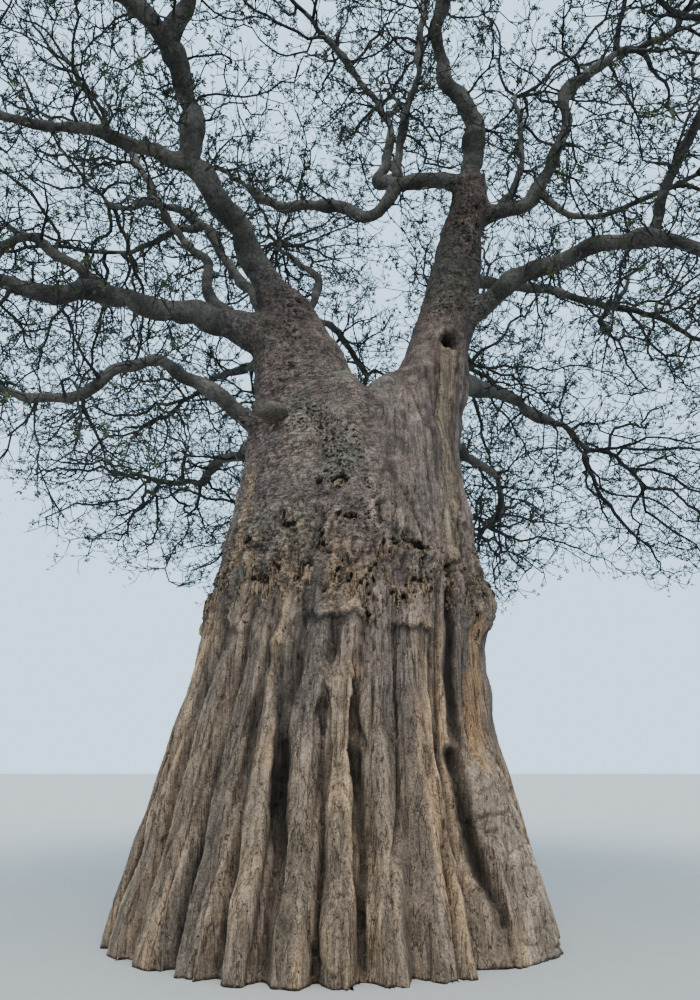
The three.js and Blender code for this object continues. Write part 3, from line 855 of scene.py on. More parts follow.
def torn_zones(places, even, stub_share):
    """Where the bark is torn, where it is loose, and the shade under its flaps."""
    score, level, chip, chip_edge = torn_score(places, even, None)
    raised = np.array([0, 0, TORN_FLAP])
    above = torn_score(places + raised, even + raised, level)[0]
    score = score * (1 - stub_share) - 0.5 * stub_share
    torn = smooth_step(0.0, 0.06, score)
    return {
        "chip": chip,
        "chip_edge": chip_edge,
        "torn_score": score,
        "torn": torn,
        "under_flap": torn * smooth_step(0.05, -0.03, above),
        "loose": hump(places[:, 2], LOOSE_HEIGHT, LOOSE_HALF_HEIGHT) * (1 - stub_share),
    }


def skirt_zones(places, even, stub_share):
    """How far each place is over the edge of the skirt, and where the skirt is whole."""
    edge = SKIRT_HEIGHT + bumps(even, "skirt_height")
    edge += bumps(even, "skirt_tatters") + bumps(even, "skirt_frays")
    whole = smooth_step(-0.70, -0.20, bumps(even, "skirt_gaps"))
    clear = smooth_step(*SKIRT_CLEAR_OF_CREVICE, away_from_line(places, SIDE_CREVICE))
    return {"over_skirt": places[:, 2] - edge, "skirt": whole * clear * (1 - stub_share)}


def unfolded(places):
    """The places with the trunk's flare taken out, so that one pattern fits it from foot to waist."""
    even = places.copy()
    even[:, 0] -= TRUNK_AXIS_START + TRUNK_AXIS_LEAN * places[:, 2]
    reach = np.maximum(np.linalg.norm(even[:, :2], axis=1), 0.3)
    flared = smooth_step(FLARED_NOT, FLARED_FULLY, places[:, 2])
    even[:, :2] *= (1 + flared * (EVEN_REACH / reach - 1))[:, None]
    return even


def bark_zones(places, stub_share):
    """Where each kind of bark lies: ribs, smooth bark, torn bark, and the marked places."""
    even = unfolded(places)
    height = places[:, 2]
    ribs = smooth_step(RIBS_TOP, RIBS_TOP - 0.9, height + bumps(even, "rib_ends"))
    rib_colour = smooth_step(RIBS_TOP + 1.3, RIBS_TOP - 2.2, height + bumps(even, "rib_colour_ends"))
    zones = {"even": even, "height": height, "stub": stub_share, "ribs": ribs, "rib_colour": rib_colour}
    zones.update(torn_zones(places, even, stub_share))
    zones.update(skirt_zones(places, even, stub_share))
    for name, (line, outer, inner, edge) in MARKS.items():
        zones[name] = smooth_step(outer, inner, away_from_line(places, line) + bumps(places, edge))
    pitted = np.min([away_from_line(places, line) for line in PITTED_LINES], axis=0)
    pitted += bumps(places, "pit_edge")
    clusters = smooth_step(-0.35, 0.35, bumps(places, "pit_clusters"))
    zones["pitted"] = smooth_step(PITTED_HALF_WIDTH, PITTED_HALF_WIDTH * 0.2, pitted) * (1 - zones["torn"])
    zones["pitted"] *= 0.3 + 0.7 * clusters
    left = smooth_step(*WRINKLES_ACROSS, places[:, 0] + bumps(places, "wrinkle_edge"))
    zones["wrinkled"] = (0.25 + 0.75 * left) * (1 - ribs) * smooth_step(*WRINKLES_FADE, height)
    right = smooth_step(*PLEATS_ACROSS, places[:, 0])
    zones["pleated"] = right * (1 - ribs) * smooth_step(*PLEATS_FADE, height)
    zones["creases"] = thin_lines(places, "creases") * zones["pleated"]
    return zones


def rib_relief(places, zones, hollow):
    """Flutes, grooves, lumps and flaking plates of the ribbed bark."""
    even = zones["even"]
    plate, plate_edge = plates(even, "rib_plates")
    flaking = smooth_step(-0.1, 0.5, bumps(even, "flaking"))
    unevenly = 0.55 + bumps(even, "unevenness")
    relief = bumps(even, "flutes") - thin_lines(even, "grooves") * unevenly
    relief += bumps(even, "lumps") - thin_lines(even, "threads")
    relief += flaking * 0.012 * (plate - smooth_step(0.10, 0.0, plate_edge))
    relief -= 0.045 * unevenly * smooth_step(-0.018, -0.05, hollow)
    relief += hump(zones["height"], KNUCKLE_HEIGHT, KNUCKLE_HALF_HEIGHT) * bumps(even, "knuckles")
    return relief + zones["foot"] * (foot_relief(places) - relief)


def foot_relief(places):
    """Lumps, cracks and plates of the big foot, which bulges along its line."""
    plate, plate_edge = plates(places, "foot_plates")
    relief = bumps(places, "foot_lumps") - thin_lines(places, "foot_cracks")
    relief += 0.026 * plate - 0.024 * smooth_step(0.12, 0.0, plate_edge)
    return relief + FOOT_BULGE * hump(away_from_line(places, FOOT_LINE), 0, FOOT_BULGE_HALF_WIDTH)


def smooth_relief(places, zones):
    """Dents, folds, pleats and pits of the smooth bark."""
    relief = bumps(places, "dents") + bumps(places, "roughness")
    relief += bumps(places, "folds") * zones["wrinkled"]
    relief += (bumps(places, "pleats") + bumps(places, "fine_pleats")) * zones["pleated"]
    relief -= 0.026 * zones["creases"]
    return relief - 0.036 * smooth_step(0.44, 0.62, bumps(places, "insect_pits")) * zones["pitted"]


def torn_relief(zones):
    """Loose chips, the lips and hollows of torn bark, and the skirt over the ribs."""
    torn, over = zones["torn"], zones["over_skirt"]
    skirt = smooth_step(-0.035, 0.02, over) * np.exp(-np.maximum(over, 0) / SKIRT_FADE)
    relief = SKIRT_LIP * skirt * zones["skirt"] * (1 - zones["wood"])
    relief += zones["loose"] * (0.028 * zones["chip"] - 0.020 * smooth_step(0.14, 0.0, zones["chip_edge"]))
    relief += 0.016 * smooth_step(-0.16, -0.02, zones["torn_score"]) * (1 - torn)
    relief -= torn * (0.030 - bumps(zones["even"], "torn_wood"))
    return relief - 0.028 * zones["under_flap"]


def mark_relief(places, zones):
    """The stripped strip, bare wood, seam, crevice, grooves, holes and swellings."""
    height, scar = zones["height"], zones["scar"]
    fibres = bumps(places, "wood_fibres")
    relief = 0.056 * scar * (1 - scar) - scar * (0.030 - 0.014 * fibres)
    relief += zones["wood"] * (0.010 * fibres - 0.008)
    seam = away_from_line(places, STEM_SEAM) + bumps(places, "seam_edge")
    relief -= SEAM_DEPTH * smooth_step(SEAM_HALF_WIDTH * 2.2, 0, seam) * smooth_step(*SEAM_FADE, height)
    crevice = away_from_line(places, SIDE_CREVICE) + bumps(places, "crevice_edge")
    crevice = smooth_step(CREVICE_HALF_WIDTH * 1.4, 0, crevice)
    relief -= CREVICE_DEPTH * crevice * smooth_step(*CREVICE_FADE, height)
    for line, half_width, depth in DARK_GROOVES:
        away = away_from_line(places, line) + bumps(places, "groove_edge")
        relief -= depth * smooth_step(half_width, 0, away)
    crack = away_from_line(places, WOOD_CRACK) + bumps(places, "crack_edge")
    relief -= WOOD_CRACK_DEPTH * smooth_step(WOOD_CRACK_HALF_WIDTH, 0, crack)
    for spot, half_width, half_height, depth in HOLES:
        away = away_from_spot(places, spot, half_width, half_height) + bumps(places, "hole_edge")
        relief += HOLE_RIM * hump(away, 1.5, 0.35) - depth * smooth_step(1.15, 0.5, away)
    for spot, half_width, half_height, rise in SWELLINGS:
        relief += rise * hump(away_from_spot(places, spot, half_width, half_height), 0, 1)
    return relief


def bark_relief(places, zones, hollow):
    """How far the bark stands out or in at each place."""
    ribs = zones["ribs"]
    relief = ribs * rib_relief(places, zones, hollow) + (1 - ribs) * smooth_relief(places, zones)
    return relief * (1 - 0.6 * zones["stub"]) + torn_relief(zones) + mark_relief(places, zones)


def blend(first, second, share):
    """A mix of two colours, or of two rows of colours, by a share for each place."""
    return first + (second - first) * share[:, None]


def rib_tones(zones, bulge):
    """Colours of the ribbed bark in long fine streaks: grey, with tan that leans to the crests as a painted
    highlight and a cold dark grey that leans to the hollows as painted shade.
    """
    even = zones["even"]
    blotch, fine = bumps(even, "blotches"), bumps(even, "thin_streaks")
    # Tan leans to the crests as a painted highlight, and the cold dark grey to the hollows as painted shade.
    tan_and_highlight = smooth_step(-0.1, 0.9, bumps(even, "streaks") + 0.45 * blotch + 0.25 * fine + 9 * bulge)
    cool_and_shade = smooth_step(0.05, 0.75, bumps(even, "cool_streaks") - 6 * bulge)
    stain = smooth_step(0.45, 0.8, bumps(even, "stains"))
    colour = blend(BARK["grey"], BARK["tan"], tan_and_highlight)
    colour = blend(colour, BARK["cool_and_shade"], 0.8 * cool_and_shade)
    colour = blend(colour, BARK["wood"], 0.45 * stain * tan_and_highlight)
    colour = colour * (1 + 0.28 * fine)[:, None]
    return blend(colour, BARK["plate"] * (1 + 0.4 * blotch)[:, None], zones["foot"] * 0.85)


def smooth_tones(places, zones):
    """Colours of the smooth bark: mauve grey with pinkish, greenish and dark clouds, with painted shade in
    its creases and, with darker bark, on the high stems.
    """
    colour = blend(BARK["mauve"], BARK["pink"], smooth_step(-0.3, 0.6, bumps(places, "clouds")))
    colour = blend(colour, BARK["lichen"], smooth_step(0.0, 0.8, bumps(places, "greenish")))
    colour = blend(colour, BARK["tan"], 0.55 * zones["streaked"])
    mottle = 1 + bumps(places, "specks") + bumps(places, "drips") * zones["pleated"]
    # Painted shade in the creases.
    shade = mottle * (1 - 0.26 * zones["creases"])
    # Painted shade of the crown, with partly darker bark, darkens the stems with height.
    shade *= 1 - STEM_DARKNESS * smooth_step(*STEMS_DARKEN, places[:, 2])
    return colour * shade[:, None]


def recess_shade_share(places, height):
    """How much painted shade darkens the crevice, the seam, the crack in the bare wood and the holes, from 0
    to 1.
    """
    share = smooth_step(CREVICE_HALF_WIDTH, 0.02, away_from_line(places, SIDE_CREVICE))
    share = share * smooth_step(*CREVICE_FADE, height)
    seam = away_from_line(places, STEM_SEAM) + bumps(places, "seam_edge")
    seam_share = 0.5 * smooth_step(SEAM_HALF_WIDTH, 0, seam) * smooth_step(*SEAM_SHADE_FADE, height)
    share = np.maximum(share, seam_share)
    crack = away_from_line(places, WOOD_CRACK) + bumps(places, "crack_edge")
    share = np.maximum(share, 0.85 * smooth_step(WOOD_CRACK_HALF_WIDTH, 0.01, crack))
    for spot, half_width, half_height, _ in HOLES:
        away = away_from_spot(places, spot, half_width, half_height) + bumps(places, "hole_edge")
        share = np.maximum(share, smooth_step(1.05, 0.7, away))
    return share


def relief_shade(places, zones, bulge):
    """How light or dark the hollows, crests, grooves, chips and skirt make each place."""
    shade = 0.34 + 0.66 * smooth_step(-0.050, 0.0, bulge)
    shade *= 1 + 0.28 * smooth_step(0.004, 0.03, bulge)
    for line, half_width, _ in DARK_GROOVES:
        away = away_from_line(places, line) + bumps(places, "groove_edge")
        shade *= 1 - 0.55 * smooth_step(half_width * 1.3, half_width * 0.3, away)
    shade *= 1 - 0.45 * zones["loose"] * smooth_step(0.10, 0.0, zones["chip_edge"])
    shade *= 1 + zones["loose"] * (0.04 + 0.22 * zones["chip"])
    over = zones["over_skirt"]
    under = smooth_step(-SKIRT_SHADE, -0.02, over) * smooth_step(0.01, -0.02, over) * zones["skirt"]
    return shade * (1 - 0.62 * under)


def bark_tones(places, zones, bulge):
    """The broad colour of the bark at each place, with painted shade in its hollows and deep marks and
    painted highlights on its crests.
    """
    scar, grain = zones["scar"], bumps(places, "grain")
    colour = blend(smooth_tones(places, zones), rib_tones(zones, bulge), zones["rib_colour"])
    colour = colour * relief_shade(places, zones, bulge)[:, None]
    strip = blend(BARK["pale"], BARK["grey"], smooth_step(-0.3, 0.5, grain))
    colour = blend(colour, strip, scar * 0.9)
    colour = colour * (1 - 2.6 * scar * (1 - scar))[:, None]
    stained = blend(BARK["wood"], BARK["tan"], smooth_step(-0.4, 0.6, grain))
    colour = blend(colour, stained, zones["wood"] * 0.85 * smooth_step(-0.05, 0.0, bulge))
    colour = blend(colour, BARK["bough"] * (1 + 0.3 * grain)[:, None], 0.9 * zones["stub"])
    # Painted shade in the crevice, the seam, the crack and the holes.
    return blend(colour, BARK["recess_shade"], recess_shade_share(places, zones["height"]))


def shallow_crease(places):
    """How close each place is to the crease that is filled up, from 0 to 1."""
    across = places[:, 0] - TRUNK_AXIS_START - TRUNK_AXIS_LEAN * places[:, 2]
    bearing = np.degrees(np.arctan2(places[:, 1], across)) % 360
    half = SHALLOW_CREASE_HALF_WIDTH
    return smooth_step(half, half * 0.5, np.abs(bearing - SHALLOW_CREASE))


def set_colours(mesh, name, colours):
    layer = mesh.color_attributes.new(name, "FLOAT_COLOR", "POINT")
    layer.data.foreach_set("color", colours.astype(np.float32).ravel())


def notched(places):
    """Draws the bark between the two stems down into a notch."""
    across = (places[:, 0] - NOTCH["across"]) / NOTCH["half_width"]
    share = np.exp(-(across ** 2)) * smooth_step(NOTCH["low"], NOTCH["high"], places[:, 2])
    lowered = places.copy()
    lowered[:, 2] -= NOTCH["depth"] * share
    return lowered


def evened_skin(stubs):
    """The skin before its relief, evened most where the bark is smooth, and the share of bough in it."""
    places, faces = cut_at_ground(*trunk_form(stubs))
    pairs = neighbour_pairs(faces)
    free = np.where(places[:, 2] < 1e-6, 0.0, 1.0)
    places = relaxed(places, pairs, 0.5 * free, FIRST_ROUNDS)
    stub_gap = near_stubs(places, stubs)
    above_ribs = smooth_step(RIBS_TOP - 1.0, RIBS_TOP + 0.5, places[:, 2]) * 0.5
    share = np.maximum(above_ribs * smooth_step(1.3, 2.4, stub_gap), 0.45 * shallow_crease(places))
    places = relaxed(places, pairs, share * free, SMOOTH_ROUNDS)
    places = notched(relaxed(places, pairs, above_ribs, LAST_ROUNDS))
    return places, faces, pairs, free, smooth_step(2.0, 1.1, stub_gap)


def raised_bark(places, faces, pairs, free, zones):
    """The skin with its relief, and how far each place stands out of the bark round it."""
    normals = corner_normals(places, faces)
    smoothed = relaxed(places, pairs, 0.5 * free, HOLLOW_ROUNDS)
    hollow = ((places - smoothed) * normals).sum(axis=1)
    normals[free == 0, 2] = 0
    places = places + unit(normals) * bark_relief(places, zones, hollow)[:, None]
    places[free == 0, 2] = 0
    places[:, 2] = np.maximum(places[:, 2], 0)
    broad = relaxed(places, pairs, 0.5 * free, BULGE_ROUNDS)
    bulge = ((places - broad) * corner_normals(places, faces)).sum(axis=1) * free
    return places, bulge


def add_trunk(material, limbs):
    """The trunk's skin in a few stacked pieces with joined shading."""
    before, faces, pairs, free, stub_share = evened_skin(bough_stubs(limbs))
    zones = bark_zones(before, stub_share)
    places, bulge = raised_bark(before, faces, pairs, free, zones)
    normals = corner_normals(places, faces)
    # The alpha of the tone carries the painted shadow under the flaps.
    tones = np.column_stack([np.clip(bark_tones(before, zones, bulge), 0.008, 0.9), zones["under_flap"]])
    torn = smooth_step(-0.19, 0.11, zones["torn_score"])
    ribbed = np.maximum(zones["ribs"], 0.85 * zones["pleated"])
    kinds = np.column_stack([ribbed, zones["wrinkled"], zones["pitted"], torn])
    middles = places[faces].mean(axis=1)[:, 2]
    for number, (low, high) in enumerate(zip(SKIN_CUTS[:-1], SKIN_CUTS[1:]), start=1):
        part = faces[(middles >= low) & (middles < high)]
        kept, part = np.unique(part, return_inverse=True)
        mesh = mesh_from(f"trunk_bark_{number}", places[kept], part.reshape(-1, 3))
        set_colours(mesh, "tone", tones[kept])
        set_colours(mesh, "kinds", kinds[kept])
        mesh.normals_split_custom_set_from_vertices(normals[kept])
        add_piece(mesh, [material], ["trunk"] if number < 3 else TRUNK_NODES)


# Boughs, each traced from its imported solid.

# Tracing: how near a corner is to a piece that it touches, how far round its start a bough's heading is
# taken from, the length of a step, how far from the line a ring of samples reaches at first and then in
# radii, how few samples end it, and how firmly it keeps its heading.
TOUCHING = 0.004
START_REACH = 0.55
TRACE_STEP = 0.09
FIRST_RING_REACH = 0.45
RING_REACH = 2.2
FEWEST_SAMPLES = 25
KEPT_HEADING = 0.55

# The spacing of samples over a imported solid, and how much wider a round limb is than its flat sides.
SAMPLE_SPACING = 0.016
FLAT_SIDE_LOSS = 1.06

# The swell where a bough starts, and how much thinner it is inside the trunk's skin.
FORK_COLLAR = 0.18
COLLAR_RADII = 1.1
THINNER_IN_SKIN = 0.16

# A cut stump is lower and narrower than its solid, by these shares, and lies a little off it.
FLAT_STUMP = "stump_front_left"
FLAT_STUMP_HEIGHT = 0.60
FLAT_STUMP_WIDTH = 0.86
FLAT_STUMP_SHIFT = (-0.11, -0.04, 0.0)
FLAT_STUMP_RELIEF = 0.4

# The spacing of the points of a limb's line: where it is bent, and where its rings lie.
BEND_SPACING = 0.06
RING_SPACING = 0.05

# The bends of a limb: where they set in, in its own radii from its start, how many come to the metre, and
# how far they go in metres and in its own radii.
BEND_FREE = (1.5, 5.0)
BEND_RATE = 2.1
BEND_LEAST = 0.045
BEND_SHARE = 0.30
BEND_SEEDS = (52, 53, 54)

# Knobs and rarer burrs that thicken a limb, as shares of its radius, and how many come to the metre.
KNOBS, KNOB_RATE = 0.13, 4.5
BURRS, BURR_RATE = 0.24, 3.3

# Knots and folds on a limb, as shares of its radius, and how many faces go round it.
KNOTS, KNOT_RATE = 0.20, 3.3
FOLDS, FOLD_RATE = 0.12, 9.0
SIDES_PER_METRE = 90
FEWEST_SIDES, MOST_SIDES = 9, 20

# The direction that the rings of a limb are turned from at its start.
LIMB_RING_START = (0.3, 0.2, 0.9)


def surface_samples(places, faces):
    """Points spread evenly and at random over a surface."""
    corners = places[faces]
    cross = np.cross(corners[:, 1] - corners[:, 0], corners[:, 2] - corners[:, 0])
    areas = np.linalg.norm(cross, axis=1) / 2
    count = int(areas.sum() / SAMPLE_SPACING ** 2)
    chosen = corners[random.choice(len(faces), count, p=areas / areas.sum())]
    across, along = random.random((2, count, 1))
    outside = across + along > 1
    across, along = np.where(outside, 1 - across, across), np.where(outside, 1 - along, along)
    return chosen[:, 0] + across * (chosen[:, 1] - chosen[:, 0]) + along * (chosen[:, 2] - chosen[:, 0])


def running_mean(rows, width):
    """Each row averaged with the rows before and after it, the ends kept."""
    padded = np.concatenate([np.repeat(rows[:1], width, 0), rows, np.repeat(rows[-1:], width, 0)])
    window = 2 * width + 1
    return np.array([padded[index:index + window].mean(axis=0) for index in range(len(rows))])


def carrier_of(name, places, trees):
    """The piece made before a bough that most of its corners touch, and the middle of those corners."""
    carrier, touching = None, []
    for other in WOOD_NODES[:WOOD_NODES.index(name)]:
        gaps = [trees[other].find_nearest(Vector(place), TOUCHING)[3] for place in places]
        near = [place for place, gap in zip(places, gaps) if gap is not None]
        if len(near) > len(touching):
            carrier, touching = other, near
    return carrier, np.mean(touching, axis=0)


def trace_limb(name, trees):
    """The middle line, radii and carrier of a bough, from the end where it touches another piece."""
    places, faces = solid_arrays(name)
    carrier, start = carrier_of(name, places, trees)
    samples = surface_samples(places, faces)
    gap = np.linalg.norm(samples - start, axis=1)
    heading = unit(samples[gap < START_REACH].mean(axis=0) - start)
    line, radii = [start], []
    while True:
        guess = line[-1] + heading * TRACE_STEP
        offset = samples - guess
        ahead = offset @ heading
        aside = np.linalg.norm(offset - ahead[:, None] * heading, axis=1)
        reach = RING_REACH * radii[-1] if radii else FIRST_RING_REACH
        ring = (np.abs(ahead) < TRACE_STEP * 0.6) & (aside < reach)
        if ring.sum() < FEWEST_SAMPLES:
            break
        middle = samples[ring].mean(axis=0)
        middle = middle - ((middle - guess) @ heading) * heading
        radii.append(np.linalg.norm(np.cross(samples[ring] - middle, heading), axis=1).mean())
        heading = unit(KEPT_HEADING * heading + (1 - KEPT_HEADING) * unit(middle - line[-1]))
        line.append(middle)
    radii = np.array([radii[0]] + radii)
    return running_mean(np.array(line), 1), running_mean(radii[:, None], 3)[:, 0] * FLAT_SIDE_LOSS, carrier


def traced_limbs(trees):
    """Every stump and bough with the bends and knobs of a grown limb, still joined where it starts."""
    limbs, moved = {}, {}
    for name in STUMP_NODES + BOUGH_NODES:
        line, radii, carrier = trace_limb(name, trees)
        line, radii, along = resampled(line, radii, BEND_SPACING)
        free = smooth_step(*BEND_FREE, along / radii[0])
        bends = np.column_stack([layered(line * BEND_RATE, seed, 2) for seed in BEND_SEEDS])
        shift = bends * (free * (BEND_LEAST + BEND_SHARE * radii))[:, None]
        if carrier in moved:
            before, carried = moved[carrier]
            nearest = np.linalg.norm(before - line[0], axis=1).argmin()
            shift = shift + carried[nearest] * (1 - free)[:, None]
        knobs = KNOBS * noise(line * KNOB_RATE, 55)
        knobs += BURRS * smooth_step(0.3, 0.75, noise(line * BURR_RATE, 56))
        moved[name] = (line, shift)
        limbs[name] = (line + shift, radii * (1 + free * knobs), carrier)
    return limbs


def ring_frames(line):
    """The heading at each point of a line, and two directions square to it that turn as little as can be."""
    tangents = unit(np.gradient(line, axis=0))
    side = unit(np.cross(tangents[0], LIMB_RING_START))
    sides = []
    for tangent in tangents:
        side = unit(side - (side @ tangent) * tangent)
        sides.append(side)
    sides = np.array(sides)
    return tangents, sides, np.cross(tangents, sides)


def ring_places(middles, across, up, radii, sides):
    turns = np.arange(sides) * 2 * np.pi / sides
    ring = across[:, None] * np.cos(turns)[:, None] + up[:, None] * np.sin(turns)[:, None]
    return middles[:, None] + ring * radii[:, None, None]


def wall_faces(low, high, sides):
    """The faces between pairs of rings, from the number of each ring's first corner."""
    near = np.arange(sides)
    far = (near + 1) % sides
    low, high = low[:, None], high[:, None]
    return [
        np.stack([low + near, low + far, high + far], axis=2).reshape(-1, 3),
        np.stack([low + near, high + far, high + near], axis=2).reshape(-1, 3),
    ]


def tip_faces(ring, tip, sides):
    """A fan from each ring to a single corner beyond it."""
    near = np.arange(sides)
    far = (near + 1) % sides
    tips = np.broadcast_to(tip[:, None], (len(tip), sides))
    return np.stack([ring[:, None] + near, ring[:, None] + far, tips], axis=2).reshape(-1, 3)


def cap_faces(starts, sides, facing_out):
    """A fan of triangles over each ring of corners."""
    fan = np.array([[0, index, index + 1] for index in range(1, sides - 1)])
    if not facing_out:
        fan = fan[:, ::-1]
    return (starts[:, None, None] + fan).reshape(-1, 3)


def tube(line, radii, sides, tip):
    """A closed tube round a line, whose end stands out or in by a share of its radius."""
    tangents, across, up = ring_frames(line)
    places = ring_places(line, across, up, radii, sides).reshape(-1, 3)
    rings = np.arange(len(line)) * sides
    ends = [line[0] - tangents[0] * radii[0] * 0.4, line[-1] + tangents[-1] * radii[-1] * tip]
    back, front = np.array([len(places)]), np.array([len(places) + 1])
    faces = wall_faces(rings[:-1], rings[1:], sides)
    faces.append(tip_faces(rings[:1], back, sides)[:, [1, 0, 2]])
    faces.append(tip_faces(rings[-1:], front, sides))
    return np.concatenate([places, ends]), np.concatenate(faces)


def resampled(line, radii, spacing):
    """A line and its radii at even steps of about the given length."""
    lengths = np.concatenate([[0], np.cumsum(np.linalg.norm(np.diff(line, axis=0), axis=1))])
    count = max(3, int(lengths[-1] / spacing) + 1)
    stations = np.linspace(0, lengths[-1], count)
    places = np.column_stack([np.interp(stations, lengths, line[:, axis]) for axis in range(3)])
    return places, np.interp(stations, lengths, radii), stations


def rooted(line, radii, along, depth):
    """A limb's line drawn back into what carries it."""
    heading = unit(line[0] - line[2])
    back = line[0] + heading * np.linspace(depth, 0.05, 4)[:, None]
    radii = np.concatenate([np.full(4, radii[0]), radii])
    return np.concatenate([back, line]), radii, np.concatenate([np.zeros(4), along])


def add_bough(name, line, radii, carrier, material):
    """One crooked limb with a collar, knots and folds in its bark."""
    line, radii, along = resampled(line, radii, RING_SPACING)
    in_skin = carrier in TRUNK_NODES and name in BOUGH_NODES
    line, radii, along = rooted(line, radii, along, STUB_ROOT if in_skin else radii[0] * 0.6)
    if in_skin:
        radii = radii * (1 - THINNER_IN_SKIN * (1 - smooth_step(1.2, 2.6, along / radii[0])))
    else:
        radii = radii * (1 + FORK_COLLAR * np.exp(-along / (COLLAR_RADII * radii[0])))
    sides = int(np.clip(radii.max() * SIDES_PER_METRE, FEWEST_SIDES, MOST_SIDES))
    places, faces = tube(line, radii, sides, -0.15 if name in STUMP_NODES else 0.5)
    normals = corner_normals(places, faces)
    relief = KNOTS * layered(places * KNOT_RATE, 41, 3) + FOLDS * noise(places * FOLD_RATE, 42)
    relief *= radii.mean()
    if name == FLAT_STUMP:
        flatter = np.array([FLAT_STUMP_WIDTH, 1, FLAT_STUMP_HEIGHT])
        places = line[-1] + flatter * (places - line[-1]) + np.array(FLAT_STUMP_SHIFT)
        relief *= FLAT_STUMP_RELIEF
    places = places + normals * relief[:, None]
    mesh = mesh_from(name.replace("bough", "bark"), places, faces)
    add_piece(mesh, [material], [name])


# The crown's growth from the boughs towards places spread through the masses.

# How many spots are tried for each place in a mass, and the noise whose low parts leave open gaps.
TRIES_PER_PLACE = 2.6
GAP_RATE = 0.85
GAP_SEED = 51
GAP_BELOW = -0.38

# The first part of a bough is bare, and beyond it every few points can bud. A branch keeps some of its way.
BARE_SHARE = 0.22
BUD_SPACING = 4
KEPT_WAY = 0.25

# A grown limb stays as thick as the bough that it carries on for this far, but for its taper.
LIMB_FADE = 1.8
LIMB_TAPER = 0.75

# The play in the thickness of branches, and how much thinner each is than its parent at least.
UNEVEN_THICKNESS = (0.88, 1.14)
THINNER_THAN_PARENT = 0.97

# How a side branch swells where it starts, how much any branch may, and how thick a tip still is.
SIDE_BRANCH_SWELL = 1.15
MOST_SWELL = 1.6
TIP_SHARE = 0.6

# Branches have more sides where they are thick.
THIN_BELOW = 0.017
THICK_ABOVE = 0.040
THIN_SIDES, MIDDLE_SIDES, THICK_SIDES = 3, 5, 8

# The direction that the rings of every branch are turned from where it leaves a bough.
BRANCH_RING_START = (0.31, 0.22, 0.92)


def inside(tree, place):
    """True if a place is inside the closed solid of a tree of faces."""
    near, facing, _, _ = tree.find_nearest(Vector(place))
    return (near - Vector(place)).dot(facing) > 0


def solid_tree(name):
    places, faces = solid_arrays(name)
    return BVHTree.FromPolygons(places.tolist(), faces.tolist())


def within(places, room):
    """Which places are in a room given by its low and high corners."""
    low, high = (np.array(corner) for corner in room)
    return ((places > low) & (places < high)).all(axis=1)


def places_in_masses(mass_trees):
    """Places spread through the masses, with open gaps where noise leaves them out."""
    boxes = {name: [np.array(corner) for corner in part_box(name)] for name in MASS_NODES}
    rooms = {name: np.prod(high - low) for name, (low, high) in boxes.items()}
    total = sum(rooms.values())
    found = []
    for name, (low, high) in boxes.items():
        dense = LOW_MASS_SHARE if "low" in name else 1
        tries = int(PLACES_IN_MASSES * TRIES_PER_PLACE * dense * rooms[name] / total)
        spots = low + random.random((tries, 3)) * (high - low)
        spots = spots[noise(spots * GAP_RATE, GAP_SEED) >= GAP_BELOW]
        found.extend(spot for spot in spots if inside(mass_trees[name], spot))
    found = np.array(found)
    return found[~within(found, CLEAR_LOWER_LEFT)]


def places_by_limbs(limbs, trees):
    """Places round the outer part of each bough, clear of the trunk and of the room before it."""
    found = []
    for line, _, _ in limbs.values():
        first = int(len(line) * BARE_SHARE)
        length = np.linalg.norm(np.diff(line[first:], axis=0), axis=1).sum()
        count = int(PLACES_PER_METRE * length)
        picked = line[random.integers(first, len(line), count)]
        reach = random.uniform(0.2, PLACES_BY_LIMB_REACH, (count, 1))
        found.append(picked + unit(random.normal(size=(count, 3))) * reach)
    found = np.concatenate(found)
    clear = ~within(found, CLEAR_FRONT)
    for name in TRUNK_NODES:
        apart = [trees[name].find_nearest(Vector(place))[3] > CLEAR_OF_TRUNK for place in found]
        clear &= np.array(apart)
    return found[clear]


def buds_on_limbs(limbs):
    """Where branches can start: places, headings, the bough's thickness, and each bough's last bud."""
    spots, headings, thick, limb_tips = [], [], [], []
    for line, radii, _ in limbs.values():
        first = int(len(line) * BARE_SHARE)
        for index in [*range(first, len(line) - 1, BUD_SPACING), len(line) - 1]:
            spots.append(line[index])
            headings.append(unit(line[index] - line[index - 2]))
            thick.append(radii[index])
        limb_tips.append(len(spots) - 1)
    return spots, headings, np.array(thick), limb_tips


def look_for_nearer(fresh, spots, places, waiting, gaps, nearest):
    """Notes for each waiting place whether one of the fresh nodes is the nearest to it so far."""
    tree = KDTree(len(fresh))
    for index in fresh:
        tree.insert(spots[index], index)
    tree.balance()
    for index in np.flatnonzero(waiting):
        _, node, gap = tree.find(places[index])
        if gap < gaps[index]:
            gaps[index], nearest[index] = gap, node


